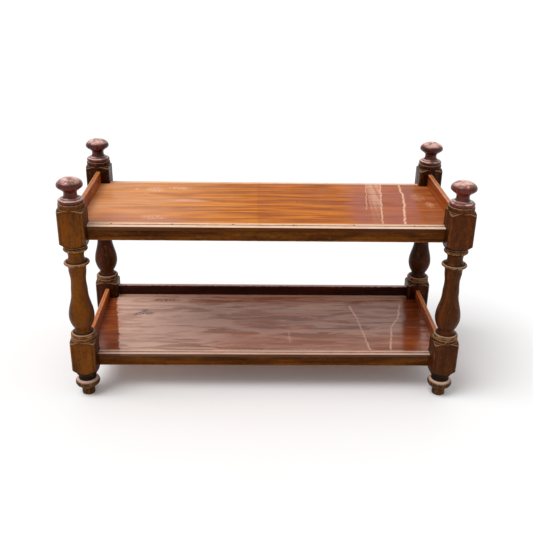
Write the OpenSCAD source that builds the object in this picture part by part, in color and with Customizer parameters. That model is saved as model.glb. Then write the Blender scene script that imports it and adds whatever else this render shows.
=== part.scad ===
// Two-tier buffet table: four turned posts with finials and feet, joined by
// tenoned rails that carry an upper and a lower board. Millimetres, +Z up.
// The origin lies on the floor, under the middle of the table; -Y is the front.

/* [Overall] */
// Length over the post blocks
overall_w = 1212; // [900:1:1600]
// Depth over the post blocks
overall_d = 505; // [420:1:700]
// Height to the tops of the finials; the posts' stems take up a change
overall_h = 723; // [705:1:850]
// Side of the square post blocks
post_s = 75; // [75:1:90]
// Flat cut along each arris of a block
arris = 5; // [1:0.5:7]

/* [Feet] */
// Height of the plain toe
toe_h = 26; // [15:1:40]
// Radius of the toe
toe_r = 20.5; // [16:0.5:25]
// Height of the bead above the toe
foot_bead_h = 4; // [2:0.5:8]
// Radius of the bead above the toe
foot_bead_r = 26; // [25.5:0.5:29]
// Height of the large foot ring
foot_ring_h = 27; // [16:0.5:30]
// Radius of the large foot ring
foot_ring_r = 38.5; // [34:0.5:42]
// Radius where the hollow above the ring starts
foot_shelf_r = 28; // [27:0.5:30]
// Height of the hollow above the ring
foot_cove_h = 10; // [6:1:20]
// Height of the plain neck above the hollow
foot_neck_h = 8; // [4:1:14]
// Radius of that neck
foot_neck_r = 26; // [24:0.5:27]
// Radius of the spigot that enters the post
foot_spigot_r = 12; // [8:0.5:12]
// Length of that spigot
foot_spigot_l = 28; // [18:1:29]

/* [Lower block] */
// Height of the bead under the block
rim_h = 4; // [3:0.5:8]
// Radius of the bead under the block
rim_r = 33; // [31.5:0.5:35]
// Height of the groove between bead and block
quirk_h = 4; // [2:0.5:6]
// Radius in that groove
quirk_r = 30.5; // [28:0.5:31]
// Height of the lower block
low_block_h = 118; // [112:1:150]
// Height of the rounded lower shoulder of the lower block
low_shoulder_h = 28; // [10:1:32]
// Radius where a block's lower shoulder starts
shoulder_r = 34.5; // [32:0.5:36]
// Radius at a block's top, where its corners are turned away
block_top_r = 42; // [39.5:0.5:46]
// Height over which they are turned away
top_drop = 12; // [4:1:14]

/* [Turned shaft] */
// Height of the plain drum on top of the lower block
low_drum_h = 10; // [5:0.5:14]
// Radius of the drums on top of the blocks
drum_r = 39; // [34:0.5:39]
// Height of the ring above the lower drum
low_ring_h = 12; // [8:0.5:18]
// Radius of the ring above the lower drum
low_ring_r = 38.5; // [35:0.5:42]
// Height of the slope from that ring to the neck
low_slope_h = 16; // [12:1:26]
// Radius of the neck under the bulb
neck_r = 24.5; // [20:0.5:28]
// Height from the neck to the widest part of the bulb
bulb_rise = 42; // [30:1:60]
// Radius of the bulb
bulb_r = 39; // [32:0.5:45]
// Height from the bulb's widest part to the stem
bulb_fall = 78; // [60:1:110]
// Radius where the stem starts
stem_low_r = 25.5; // [23:0.5:28]
// Radius of the stem at its narrowest part
stem_r = 23; // [18:0.5:25]
// Height of the flare above the stem
flare_h = 36; // [20:1:50]
// Radius at the top of the flare
flare_r = 26.5; // [23:0.5:29]
// Height of the collar's hollow underside
collar_under_h = 18; // [12:1:26]
// Radius of the collar
collar_r = 38.5; // [34:0.5:42]
// Height of the collar's rounded edge
collar_edge_h = 7; // [5:0.5:10]
// Height of the collar's sloping top
collar_top_h = 17; // [10:1:24]
// Radius of the neck above the collar
top_neck_r = 23.5; // [20:0.5:27]
// Height of the slope under the upper bead
top_slope_h = 20; // [10:1:26]
// Height of the upper bead
top_bead_h = 9; // [5:0.5:12]
// Radius of the upper bead
top_bead_r = 36.5; // [33:0.5:38]

/* [Upper block] */
// Height of the groove above the upper bead
block_groove_h = 4.5; // [3:0.5:8]
// Height of the fillet between that groove and the upper block
fillet_h = 2.5; // [1:0.5:5]
// Radius of that fillet
fillet_r = 35.5; // [34:0.5:36.5]
// Height of the upper block
up_block_h = 118; // [114:1:145]
// Height of the rounded lower shoulder of the upper block
up_shoulder_h = 24; // [8:1:28]
// Height of the plain drum on top of the upper block
up_drum_h = 14; // [8:0.5:18]

/* [Finial] */
// Height of the finial's ring
fin_ring_h = 13; // [9:0.5:18]
// Radius of the finial's ring
fin_ring_r = 38; // [34:0.5:42]
// Radius of the small step above the ring
fin_step_r = 29; // [25:0.5:31]
// Height of that step
fin_step_h = 3; // [2:0.5:6]
// Height of the hollow from the step to the waist
fin_hollow_h = 11; // [8:1:20]
// Height of the finial's plain waist
fin_waist_h = 4; // [1:1:12]
// Radius of the finial's waist
fin_waist_r = 19.5; // [15:0.5:23]
// Height of the curved underside of the mushroom head
fin_under_h = 22; // [14:1:30]
// Radius of the mushroom head
fin_head_r = 38.5; // [33:0.5:42]
// Height of the head's dome
fin_dome_h = 23; // [14:1:32]
// Radius of the spigot that enters the post
fin_spigot_r = 10; // [7:0.5:10]
// Length of that spigot
fin_spigot_l = 30; // [16:1:32]

/* [Boards] */
// How far the upper board's top lies under the tops of the blocks
up_board_below = 56; // [46:1:58]
// How far the lower board's top lies under the tops of the blocks
low_board_below = 59; // [42:1:62]
// Thickness of the upper board
up_board_t = 18; // [16:0.5:22]
// Width of the upper board's edge moulding
up_mould_w = 13; // [8:0.5:20]
// How far the upper board's edge stands past the post axes
up_overhang = 2; // [-4:0.5:6]
// Thickness of the lower board
low_board_t = 16; // [15:0.5:20]
// Width of the lower board's edge moulding
low_mould_w = 9; // [6:0.5:16]
// How far the lower board's edge stands past the post axes
low_overhang = -4; // [-6:0.5:4]
// Step between a board's flat top and its rounded edge
mould_step = 1.2; // [0.6:0.2:2]
// Height and depth of the slope cut under a board's rounded edge
mould_under = 5; // [2:0.5:6]
// Drop of the rounded edge, from a board's flat top to the square part under it
mould_drop = 4.5; // [2.5:0.5:8]
// Gap between a board and the posts and side rails around it
board_gap = 0.3; // [0.2:0.1:1]

/* [Rails] */
// Height of the upper front and back rails
up_rail_h = 33; // [28:1:36]
// Height of the lower front rail
low_rail_h = 35; // [28:1:35]
// Thickness of the front and back rails
rail_t = 18; // [16:0.5:22]
// Setback of a front rail's face from the board's edge
rail_setback = 9; // [6:0.5:12]
// Thickness of the gallery rails at the sides and at the lower back
gallery_t = 14; // [12:0.5:20]
// How far the side rails' middle lies inside the post axes
side_inset = 4; // [0:0.5:6]
// How far the upper side rails stand above the upper board
up_gallery_rise = 42; // [20:1:44]
// How far the lower gallery stands above the lower board
low_gallery_rise = 37; // [20:1:44]
// Depth of the lower gallery below the lower board's top
low_gallery_drop = 43; // [34:1:43]
// Radius along a gallery rail's top edges
gallery_round = 3; // [1:0.5:5]

/* [Joints] */
// Thickness of the tenons
tenon_t = 8; // [6:0.5:9]
// Length of the tenons
tenon_l = 24; // [15:0.5:26]
// Height of a tenon's shoulder, above and below it
tenon_shoulder = 6; // [4:0.5:9]
// Gap at each side of a tenon, and all round a spigot
fit_gap = 0.1; // [0.05:0.05:0.3]
// Gap at the end of a tenon or spigot
end_gap = 1; // [0.5:0.5:3]

/* [Battens and glue blocks] */
// Side of the square battens under the boards
batten_s = 16; // [14:0.5:18]
// Gap between a batten's end and the post blocks
batten_end_gap = 3; // [1:0.5:10]
// Side of the glue blocks behind the rails
block_s = 16; // [12:0.5:18]
// Length of a glue block
block_l = 70; // [40:5:90]
// Number of glue blocks behind each rail
block_n = 4; // [2:1:5]
// Distance from the post blocks to the first glue block's middle
block_inset = 120; // [100:5:160]

/* [Nails and screws] */
// Number of nails along each edge of a board
nail_n = 6; // [3:1:8]
// Distance from the left post block to the first nail
nail_inset_left = 69; // [50:1:90]
// Distance from the right post block to the last nail
nail_inset_right = 91; // [50:1:110]
// Distance from the face of a rail to its nails
nail_depth = 7; // [5:0.5:11]
// Radius of a nail's shank
nail_r = 1.3; // [1:0.1:1.8]
// Radius of a nail's head
nail_head_r = 2.4; // [2.2:0.1:3]
// Height of a nail's head
nail_head_h = 1.6; // [1:0.2:2.4]
// Length of a nail
nail_l = 40; // [30:1:44]
// Depth of a nail's head below the board's surface
nail_sink = 0.5; // [0.5:0.25:2]
// Radius of a screw's shank
screw_r = 2; // [1.5:0.1:2.5]
// Radius of a screw's countersunk head
screw_head_r = 4; // [3.5:0.1:4.6]
// Height of a screw's countersunk head
screw_head_h = 2.5; // [2:0.1:3]
// Length of a screw
screw_l = 26; // [24:1:27]
// Gap between a nail or screw and its hole
hole_gap = 0.05; // [0.02:0.01:0.2]

/* [Hidden] */

FRONT = -1;
BACK = 1;
LEFT = -1;
RIGHT = 1;

// Plan: post axes and the faces of the blocks
half_s = post_s / 2;
axis_x = overall_w / 2 - half_s;
axis_y = overall_d / 2 - half_s;
inner_x = axis_x - half_s;
inner_y = axis_y - half_s;
corner_r = half_s * sqrt(2);

// Heights, from the floor upward to the foot of the stem
foot_ring_z = toe_h + foot_bead_h;
foot_cove_z = foot_ring_z + foot_ring_h;
foot_neck_z = foot_cove_z + foot_cove_h;
foot_h = foot_neck_z + foot_neck_h;
low_block_z0 = foot_h + rim_h + quirk_h;
low_block_z1 = low_block_z0 + low_block_h;
low_ring_z = low_block_z1 + low_drum_h;
low_slope_z = low_ring_z + low_ring_h;
neck_z = low_slope_z + low_slope_h;
bulb_z = neck_z + bulb_rise;
stem_z = bulb_z + bulb_fall;

// Heights, from the finials' tops downward to the narrowest part of the stem
fin_head_z = overall_h - fin_dome_h;
fin_under_z = fin_head_z - fin_under_h;
fin_waist_z = fin_under_z - fin_waist_h;
fin_hollow_z = fin_waist_z - fin_hollow_h;
fin_step_z = fin_hollow_z - fin_step_h;
post_top_z = fin_step_z - fin_ring_h;
up_block_z1 = post_top_z - up_drum_h;
up_block_z0 = up_block_z1 - up_block_h;
fillet_z = up_block_z0 - fillet_h;
block_groove_z = fillet_z - block_groove_h;
top_bead_z = block_groove_z - top_bead_h;
top_neck_z = top_bead_z - top_slope_h;
collar_top_z = top_neck_z - collar_top_h;
collar_edge_z = collar_top_z - collar_edge_h;
collar_z = collar_edge_z - collar_under_h;
flare_z = collar_z - flare_h;

// Tops and undersides of the boards
up_top_z = up_block_z1 - up_board_below;
up_under_z = up_top_z - up_board_t;
low_top_z = low_block_z1 - low_board_below;
low_under_z = low_top_z - low_board_t;

// Edges and ends of the boards
side_x = axis_x - side_inset;
side_face_x = side_x - gallery_t / 2;
board_end_x = side_face_x - board_gap;
board_shoulder_x = inner_x - board_gap;
board_neck_y = inner_y - board_gap;
up_edge_y = axis_y + up_overhang;
low_edge_y = axis_y + low_overhang;
low_back_face_y = axis_y - gallery_t / 2;

// Middles of the front and back rails
up_rail_y = up_edge_y - rail_setback - rail_t / 2;
low_rail_y = low_edge_y - rail_setback - rail_t / 2;

// Heights of the gallery rails
up_gallery_z0 = up_under_z - up_rail_h;
up_gallery_z1 = up_top_z + up_gallery_rise;
low_gallery_z0 = low_top_z - low_gallery_drop;
low_gallery_z1 = low_top_z + low_gallery_rise;

// How far inside a bead's edge the curve beside it starts
bead_inset = 3;
// Radius of the plain core that runs through the blocks
core_r = quirk_r - bead_inset;
// Ease cut on the lower edges of the rails and the toes
edge_ease = 1.5;

// Steps along curves, and facets round a turned part
curve_n = 10;
turn_fn = 96;
hole_fn = 32;
eps = 0.01;

// Colours as the table shows them
post_brown = [0.42, 0.23, 0.10];
head_red = [0.42, 0.20, 0.15];
board_orange = [0.72, 0.42, 0.24];
shelf_red = [0.56, 0.34, 0.26];
rail_brown = [0.38, 0.20, 0.07];
gallery_orange = [0.62, 0.36, 0.20];
pine = [0.72, 0.58, 0.38];
iron = [0.30, 0.29, 0.28];
steel = [0.62, 0.62, 0.60];

// Curves for turned outlines: each returns points [radius, height]

// A bead that swells between two heights, out to radius r
function bead(r, z0, z1) = let (half = (z1 - z0) / 2)
    [for (i = [0 : curve_n]) let (a = -90 + 180 * i / curve_n)
        [r - half + half * cos(a), z0 + half + half * sin(a)]];

// An S-shaped change of radius with upright ends
function ogee(r0, z0, r1, z1) =
    [for (i = [0 : curve_n]) let (t = i / curve_n)
        [r0 + (r1 - r0) * (1 - cos(180 * t)) / 2, z0 + (z1 - z0) * t]];

// A full curve that leaves r0 steeply and ends upright at r1
function swell(r0, z0, r1, z1) =
    [for (i = [0 : curve_n]) let (t = i / curve_n)
        [r0 + (r1 - r0) * pow(sin(90 * t), 0.8), z0 + (z1 - z0) * t]];

// A hollow curve that leaves r0 upright and ends steeply at r1
function hollow(r0, z0, r1, z1) =
    [for (i = [0 : curve_n]) let (a = 90 * i / curve_n)
        [r0 + (r1 - r0) * (1 - cos(a)), z0 + (z1 - z0) * sin(a)]];

// A sloping curve that leaves r0 steadily and ends upright at r1
function shoulder(r0, z0, r1, z1) =
    [for (i = [0 : curve_n]) let (t = i / curve_n)
        [r0 + (r1 - r0) * sin(90 * t), z0 + (z1 - z0) * t]];

function reversed(points) = [for (i = [len(points) - 1 : -1 : 0]) points[i]];

// Solid of revolution from an outline, closed by flat ends where it stops short of the axis
module turned(outline) {
    start = outline[0];
    end = outline[len(outline) - 1];
    rotate_extrude($fn = turn_fn)
        polygon(concat([[0, start[1]]], outline, end[0] > 0 ? [[0, end[1]]] : []));
}

// A bar along X whose section is given in Y and Z
module bar_along_x(length, section) {
    translate([-length / 2, 0, 0])
        rotate([90, 0, 90])
            linear_extrude(length)
                polygon(section);
}

// A bar along Y whose section is given in X and Z
module bar_along_y(length, section) {
    translate([0, length / 2, 0])
        rotate([90, 0, 0])
            linear_extrude(length)
                polygon(section);
}

// A box given by its two corners
module span(low, high) {
    translate(low) cube(high - low);
}

module at_post(side, face) {
    translate([side * axis_x, face * axis_y, 0]) children();
}

// Feet

foot_outline = concat(
    [[toe_r - edge_ease, 0], [toe_r, edge_ease], [toe_r, toe_h]],
    bead(foot_bead_r, toe_h, foot_ring_z),
    bead(foot_ring_r, foot_ring_z, foot_cove_z),
    ogee(foot_shelf_r, foot_cove_z, foot_neck_r, foot_neck_z),
    [[foot_neck_r, foot_h]]
);

module foot(side, face) {
    color(post_brown)
        at_post(side, face)
            union() {
                turned(foot_outline);
                translate([0, 0, foot_h - eps])
                    cylinder(r = foot_spigot_r, h = foot_spigot_l + eps, $fn = turn_fn);
            }
}

// Posts

shaft_outline = concat(
    bead(rim_r, foot_h, foot_h + rim_h),
    [[quirk_r, foot_h + rim_h], [quirk_r, low_block_z0 + eps]],
    [[core_r, low_block_z0 + eps], [core_r, low_block_z1 - eps]],
    [[drum_r, low_block_z1 - eps], [drum_r, low_ring_z - edge_ease], [drum_r - bead_inset, low_ring_z]],
    bead(low_ring_r, low_ring_z, low_slope_z),
    reversed(hollow(neck_r, neck_z, low_ring_r - bead_inset, low_slope_z)),
    swell(neck_r, neck_z, bulb_r, bulb_z),
    ogee(bulb_r, bulb_z, stem_low_r, stem_z),
    ogee(stem_low_r, stem_z, stem_r, flare_z),
    ogee(stem_r, flare_z, flare_r, collar_z),
    hollow(flare_r, collar_z, collar_r - bead_inset, collar_edge_z),
    bead(collar_r, collar_edge_z, collar_top_z),
    reversed(hollow(top_neck_r, top_neck_z, collar_r - bead_inset, collar_top_z)),
    hollow(top_neck_r, top_neck_z, top_bead_r - bead_inset, top_bead_z),
    bead(top_bead_r, top_bead_z, block_groove_z),
    [[quirk_r, block_groove_z], [quirk_r, fillet_z]],
    [[fillet_r, fillet_z], [fillet_r, up_block_z0 + eps]],
    [[core_r, up_block_z0 + eps], [core_r, up_block_z1 - eps]],
    [[drum_r, up_block_z1 - eps], [drum_r, post_top_z - edge_ease], [drum_r - edge_ease, post_top_z]]
);

// The square section of a block, with its arrises cut
block_section = [
    [half_s - arris, -half_s], [half_s, -half_s + arris],
    [half_s, half_s - arris], [half_s - arris, half_s],
    [-half_s + arris, half_s], [-half_s, half_s - arris],
    [-half_s, -half_s + arris], [-half_s + arris, -half_s]
];

// A square block whose corners are turned away at both ends
module block(z0, z1, shoulder_h) {
    intersection() {
        translate([0, 0, z0])
            linear_extrude(z1 - z0)
                polygon(block_section);
        turned(concat(
            shoulder(shoulder_r, z0, corner_r, z0 + shoulder_h),
            reversed(shoulder(block_top_r, z1, corner_r, z1 - top_drop))
        ));
    }
}

// Room for the tenon of a rail along X, which enters the block's inner face
module mortise_x(side, rail_y, z0, z1) {
    near = side * (inner_x - 1);
    far = side * (inner_x + tenon_l + end_gap);
    half_t = tenon_t / 2 + fit_gap;
    span(
        [min(near, far), rail_y - half_t, z0 + tenon_shoulder - fit_gap],
        [max(near, far), rail_y + half_t, z1 - tenon_shoulder + fit_gap]
    );
}

// Room for the tenon of a side rail, which enters the block's inner face
module mortise_y(side, face, z0, z1) {
    near = face * (inner_y - 1);
    far = face * (inner_y + tenon_l + end_gap);
    half_t = tenon_t / 2 + fit_gap;
    span(
        [side * side_x - half_t, min(near, far), z0 + tenon_shoulder - fit_gap],
        [side * side_x + half_t, max(near, far), z1 - tenon_shoulder + fit_gap]
    );
}

// Bore for a spigot of radius r, on the axis of the post
module spigot_bore(r, z0, z1) {
    translate([0, 0, z0])
        cylinder(r = r + fit_gap, h = z1 - z0, $fn = turn_fn);
}

module post(side, face) {
    low_z0 = face == FRONT ? low_under_z - low_rail_h : low_gallery_z0;
    low_z1 = face == FRONT ? low_under_z : low_gallery_z1;
    low_y = face == FRONT ? -low_rail_y : axis_y;
    color(post_brown)
        difference() {
            at_post(side, face)
                union() {
                    turned(shaft_outline);
                    block(low_block_z0, low_block_z1, low_shoulder_h);
                    block(up_block_z0, up_block_z1, up_shoulder_h);
                }
            at_post(side, face)
                union() {
                    spigot_bore(foot_spigot_r, foot_h - 1, foot_h + foot_spigot_l + end_gap);
                    spigot_bore(fin_spigot_r, post_top_z - fin_spigot_l - end_gap, post_top_z + 1);
                }
            mortise_x(side, face * up_rail_y, up_under_z - up_rail_h, up_under_z);
            mortise_x(side, low_y, low_z0, low_z1);
            mortise_y(side, face, up_gallery_z0, up_gallery_z1);
            mortise_y(side, face, low_gallery_z0, low_gallery_z1);
        }
}

// Finials

fin_outline = concat(
    bead(fin_ring_r, post_top_z, fin_step_z),
    [[fin_step_r, fin_step_z], [fin_step_r, fin_hollow_z - edge_ease]],
    reversed(hollow(fin_waist_r, fin_waist_z, fin_step_r - edge_ease, fin_hollow_z)),
    ogee(fin_waist_r, fin_under_z, fin_head_r, fin_head_z),
    [for (i = [1 : curve_n]) let (a = 90 * i / curve_n)
        [fin_head_r * cos(a), fin_head_z + fin_dome_h * sin(a)]]
);

module finial(side, face) {
    color(head_red)
        at_post(side, face)
            union() {
                turned(fin_outline);
                translate([0, 0, post_top_z - fin_spigot_l])
                    cylinder(r = fin_spigot_r, h = fin_spigot_l + eps, $fn = turn_fn);
            }
}

// Boards

// Rise of the rounded part of a board's edge
mould_rise = mould_drop - mould_step;

// Edge of a board, from its underside to its flat top, at y = 0 and running to +y
function mould(width, thick) =
    concat(
        [[mould_under, 0], [0, mould_under]],
        [for (i = [0 : curve_n]) let (a = 90 * i / curve_n)
            [width * (1 - cos(a)), thick - mould_drop + mould_rise * sin(a)]],
        [[width, thick]]
    );

// Height of that board's surface above its underside, at a distance inward from its edge
function mould_height(width, thick, inward) =
    inward < width ? thick - mould_drop + mould_rise * sqrt(1 - pow(1 - inward / width, 2)) : thick;

function placed(points, y, z) = [for (p = points) [y + p[0], z + p[1]]];
function turned_round(points, y, z) = [for (p = points) [y - p[0], z + p[1]]];

// X of each nail, evenly spaced between its two insets
nail_x = [for (i = [0 : nail_n - 1])
    -inner_x + nail_inset_left
        + (2 * inner_x - nail_inset_left - nail_inset_right) * i / (nail_n - 1)];

nail_inward = rail_setback + nail_depth;
up_nail_y = up_edge_y - nail_inward;
low_nail_y = low_edge_y - nail_inward;
up_nail_z = up_under_z + mould_height(up_mould_w, up_board_t, nail_inward);
low_nail_z = low_under_z + mould_height(low_mould_w, low_board_t, nail_inward);

// A lost-head nail that points down, with its head's top at height z
module nail(x, y, z) {
    translate([x, y, z - nail_head_h])
        cylinder(r = nail_head_r, h = nail_head_h, $fn = hole_fn);
    translate([x, y, z - nail_l])
        cylinder(r = nail_r, h = nail_l - nail_head_h + eps, $fn = hole_fn);
}

// The hole that a nail leaves, open at the board's surface, whose height there is z
module nail_hole(x, y, z) {
    translate([x, y, z - nail_sink - nail_head_h - hole_gap])
        cylinder(r = nail_head_r + hole_gap, h = nail_sink + nail_head_h + 1, $fn = hole_fn);
    translate([x, y, z - nail_sink - nail_l - end_gap])
        cylinder(r = nail_r + hole_gap, h = nail_l + end_gap, $fn = hole_fn);
}

module upper_board_nail_set(as_holes) {
    for (face = [FRONT, BACK])
        for (x = nail_x)
            if (as_holes) nail_hole(x, face * up_nail_y, up_nail_z);
            else nail(x, face * up_nail_y, up_nail_z - nail_sink);
}

module lower_board_nail_set(as_holes) {
    for (x = nail_x)
        if (as_holes) nail_hole(x, -low_nail_y, low_nail_z);
        else nail(x, -low_nail_y, low_nail_z - nail_sink);
}

module upper_board() {
    color(board_orange)
        difference() {
            union() {
                bar_along_x(2 * board_shoulder_x, concat(
                    placed(mould(up_mould_w, up_board_t), -up_edge_y, up_under_z),
                    reversed(turned_round(mould(up_mould_w, up_board_t), up_edge_y, up_under_z))
                ));
                span([-board_end_x, -board_neck_y, up_under_z], [board_end_x, board_neck_y, up_top_z]);
            }
            upper_board_nail_set(true);
            upper_screw_set(true);
        }
}

module lower_board() {
    color(shelf_red)
        difference() {
            union() {
                bar_along_x(2 * board_shoulder_x, concat(
                    placed(mould(low_mould_w, low_board_t), -low_edge_y, low_under_z),
                    [[low_back_face_y, low_top_z], [low_back_face_y, low_under_z]]
                ));
                span([-board_end_x, -board_neck_y, low_under_z], [board_end_x, board_neck_y, low_top_z]);
            }
            lower_board_nail_set(true);
            lower_screw_set(true);
        }
}

// Rails

// Section of a front or back rail, with its lower edges eased
function rail_section(y, z0, z1) = let (half = rail_t / 2)
    [[y - half + edge_ease, z0], [y + half - edge_ease, z0], [y + half, z0 + edge_ease], [y + half, z1],
     [y - half, z1], [y - half, z0 + edge_ease]];

// Section of a gallery rail, with its top edges rounded
function gallery_section(m, z0, z1) = let (half = gallery_t / 2, r = gallery_round)
    concat(
        [[m - half, z0], [m + half, z0]],
        [for (i = [0 : 4]) let (a = 90 * i / 4) [m + half - r + r * cos(a), z1 - r + r * sin(a)]],
        [for (i = [0 : 4]) let (a = 90 + 90 * i / 4) [m - half + r + r * cos(a), z1 - r + r * sin(a)]]
    );

// The two tenons of a rail along X
module tenons_x(y, z0, z1) {
    span(
        [-inner_x - tenon_l, y - tenon_t / 2, z0 + tenon_shoulder],
        [inner_x + tenon_l, y + tenon_t / 2, z1 - tenon_shoulder]
    );
}

// The two tenons of a side rail
module tenons_y(x, z0, z1) {
    span(
        [x - tenon_t / 2, -inner_y - tenon_l, z0 + tenon_shoulder],
        [x + tenon_t / 2, inner_y + tenon_l, z1 - tenon_shoulder]
    );
}

module upper_long_rail(face) {
    y = face * up_rail_y;
    color(rail_brown)
        difference() {
            union() {
                bar_along_x(2 * inner_x, rail_section(y, up_under_z - up_rail_h, up_under_z));
                tenons_x(y, up_under_z - up_rail_h, up_under_z);
            }
            upper_board_nail_set(true);
        }
}

module lower_front_rail() {
    color(rail_brown)
        difference() {
            union() {
                bar_along_x(2 * inner_x, rail_section(-low_rail_y, low_under_z - low_rail_h, low_under_z));
                tenons_x(-low_rail_y, low_under_z - low_rail_h, low_under_z);
            }
            lower_board_nail_set(true);
        }
}

module lower_back_rail() {
    color(rail_brown)
        difference() {
            union() {
                bar_along_x(2 * inner_x, gallery_section(axis_y, low_gallery_z0, low_gallery_z1));
                tenons_x(axis_y, low_gallery_z0, low_gallery_z1);
            }
            lower_screw_set(true);
        }
}

module upper_side_rail(side) {
    color(gallery_orange)
        difference() {
            union() {
                bar_along_y(2 * inner_y, gallery_section(side * side_x, up_gallery_z0, up_gallery_z1));
                tenons_y(side * side_x, up_gallery_z0, up_gallery_z1);
            }
            upper_screw_set(true);
        }
}

module lower_side_rail(side) {
    color(gallery_orange)
        difference() {
            union() {
                bar_along_y(2 * inner_y, gallery_section(side * side_x, low_gallery_z0, low_gallery_z1));
                tenons_y(side * side_x, low_gallery_z0, low_gallery_z1);
            }
            lower_screw_set(true);
        }
}

// Battens, and the screws that hold them

batten_half_l = inner_y - batten_end_gap;
back_batten_half_l = inner_x - batten_end_gap;
batten_x = side_face_x - batten_s / 2;
back_batten_y = low_back_face_y - batten_s / 2;

// Distance from a batten's end to its first screw
screw_inset = 35;
// Places along a batten: screws into the rail sit halfway between those into the board
side_up_end = batten_half_l - screw_inset;
side_up_y = [-side_up_end, 0, side_up_end];
side_out_end = side_up_end / 2;
side_out_y = [-side_out_end, side_out_end];
back_up_end = back_batten_half_l - screw_inset;
back_up_x = [-back_up_end, -back_up_end / 3, back_up_end / 3, back_up_end];
back_out_end = back_up_end * 2 / 3;
back_out_x = [-back_out_end, 0, back_out_end];

// A screw that points along +Z, with its head's face at height 0
module screw(gap) {
    cylinder(r1 = screw_head_r + gap, r2 = screw_r + gap, h = screw_head_h, $fn = hole_fn);
    translate([0, 0, screw_head_h - eps])
        cylinder(r = screw_r + gap, h = screw_l - screw_head_h + (gap > 0 ? end_gap : 0), $fn = hole_fn);
}

// One upright screw, from under a batten into a board
module screw_up(x, y, board_under, as_hole) {
    translate([x, y, board_under - batten_s])
        screw(as_hole ? hole_gap : 0);
}

// One level screw, from a side batten's inner face outward into its side rail
module screw_out(side, y, board_under, as_hole) {
    translate([side * (side_face_x - batten_s), y, board_under - batten_s / 2])
        rotate([0, side * 90, 0])
            screw(as_hole ? hole_gap : 0);
}

// One level screw, from the back batten's front face into the back rail
module screw_back(x, board_under, as_hole) {
    translate([x, low_back_face_y - batten_s, board_under - batten_s / 2])
        rotate([-90, 0, 0])
            screw(as_hole ? hole_gap : 0);
}

module side_screw_set(board_under, as_hole) {
    for (side = [LEFT, RIGHT]) {
        for (y = side_up_y)
            screw_up(side * batten_x, y, board_under, as_hole);
        for (y = side_out_y)
            screw_out(side, y, board_under, as_hole);
    }
}

module upper_screw_set(as_hole) {
    side_screw_set(up_under_z, as_hole);
}

module lower_screw_set(as_hole) {
    side_screw_set(low_under_z, as_hole);
    for (x = back_up_x)
        screw_up(x, back_batten_y, low_under_z, as_hole);
    for (x = back_out_x)
        screw_back(x, low_under_z, as_hole);
}

module side_batten(side, board_under) {
    span(
        [side * batten_x - batten_s / 2, -batten_half_l, board_under - batten_s],
        [side * batten_x + batten_s / 2, batten_half_l, board_under]
    );
}

module upper_batten(side) {
    color(pine)
        difference() {
            side_batten(side, up_under_z);
            upper_screw_set(true);
        }
}

module lower_batten(side) {
    color(pine)
        difference() {
            side_batten(side, low_under_z);
            lower_screw_set(true);
        }
}

module lower_back_batten() {
    color(pine)
        difference() {
            span(
                [-back_batten_half_l, back_batten_y - batten_s / 2, low_under_z - batten_s],
                [back_batten_half_l, back_batten_y + batten_s / 2, low_under_z]
            );
            lower_screw_set(true);
        }
}

// Glue blocks, three-cornered, in the angle between a rail and its board

block_x = [for (i = [0 : block_n - 1])
    -inner_x + block_inset + (2 * inner_x - 2 * block_inset) * i / (block_n - 1)];

// Thickness that a glue block keeps at its inner edge
block_toe = 2;

// Section of a glue block behind a front rail, whose inner face stands at y
function block_section_at(y, z) =
    [[y, z - block_s], [y + block_s, z - block_toe], [y + block_s, z], [y, z]];

// rail_back is the distance of the rail's inner face from the table's middle
module glue_block(x, face, rail_back, board_under) {
    translate([x, 0, 0])
        rotate([0, 0, face == FRONT ? 0 : 180])
            bar_along_x(block_l, block_section_at(-rail_back, board_under));
}

module upper_glue_blocks() {
    color(pine)
        for (face = [FRONT, BACK])
            for (x = block_x)
                glue_block(x, face, up_rail_y - rail_t / 2, up_under_z);
}

module lower_glue_blocks() {
    color(pine)
        for (x = block_x)
            glue_block(x, FRONT, low_rail_y - rail_t / 2, low_under_z);
}

foot(LEFT, FRONT);  // foot_front_left
foot(RIGHT, FRONT);  // foot_front_right
foot(LEFT, BACK);  // foot_back_left
foot(RIGHT, BACK);  // foot_back_right
post(LEFT, FRONT);  // post_front_left
post(RIGHT, FRONT);  // post_front_right
post(LEFT, BACK);  // post_back_left
post(RIGHT, BACK);  // post_back_right
finial(LEFT, FRONT);  // finial_front_left
finial(RIGHT, FRONT);  // finial_front_right
finial(LEFT, BACK);  // finial_back_left
finial(RIGHT, BACK);  // finial_back_right
upper_board();
lower_board();
upper_long_rail(FRONT);  // upper_front_rail
upper_long_rail(BACK);  // upper_back_rail
upper_side_rail(LEFT);  // upper_left_rail
upper_side_rail(RIGHT);  // upper_right_rail
lower_front_rail();
lower_back_rail();
lower_side_rail(LEFT);  // lower_left_rail
lower_side_rail(RIGHT);  // lower_right_rail
upper_batten(LEFT);  // upper_left_batten
upper_batten(RIGHT);  // upper_right_batten
lower_batten(LEFT);  // lower_left_batten
lower_batten(RIGHT);  // lower_right_batten
lower_back_batten();
upper_glue_blocks();
lower_glue_blocks();
color(iron) upper_board_nail_set(false);  // upper_board_nails
color(iron) lower_board_nail_set(false);  // lower_board_nails
color(steel) upper_screw_set(false);  // upper_batten_screws
color(steel) lower_screw_set(false);  // lower_batten_screws
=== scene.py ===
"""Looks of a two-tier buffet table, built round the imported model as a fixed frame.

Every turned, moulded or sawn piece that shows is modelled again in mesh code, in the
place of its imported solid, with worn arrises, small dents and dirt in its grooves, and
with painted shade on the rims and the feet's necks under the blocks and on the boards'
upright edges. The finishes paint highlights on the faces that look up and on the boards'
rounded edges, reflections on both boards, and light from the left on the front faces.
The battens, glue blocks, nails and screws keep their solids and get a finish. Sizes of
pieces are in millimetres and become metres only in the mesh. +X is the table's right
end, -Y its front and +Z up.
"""

from __future__ import annotations

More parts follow.
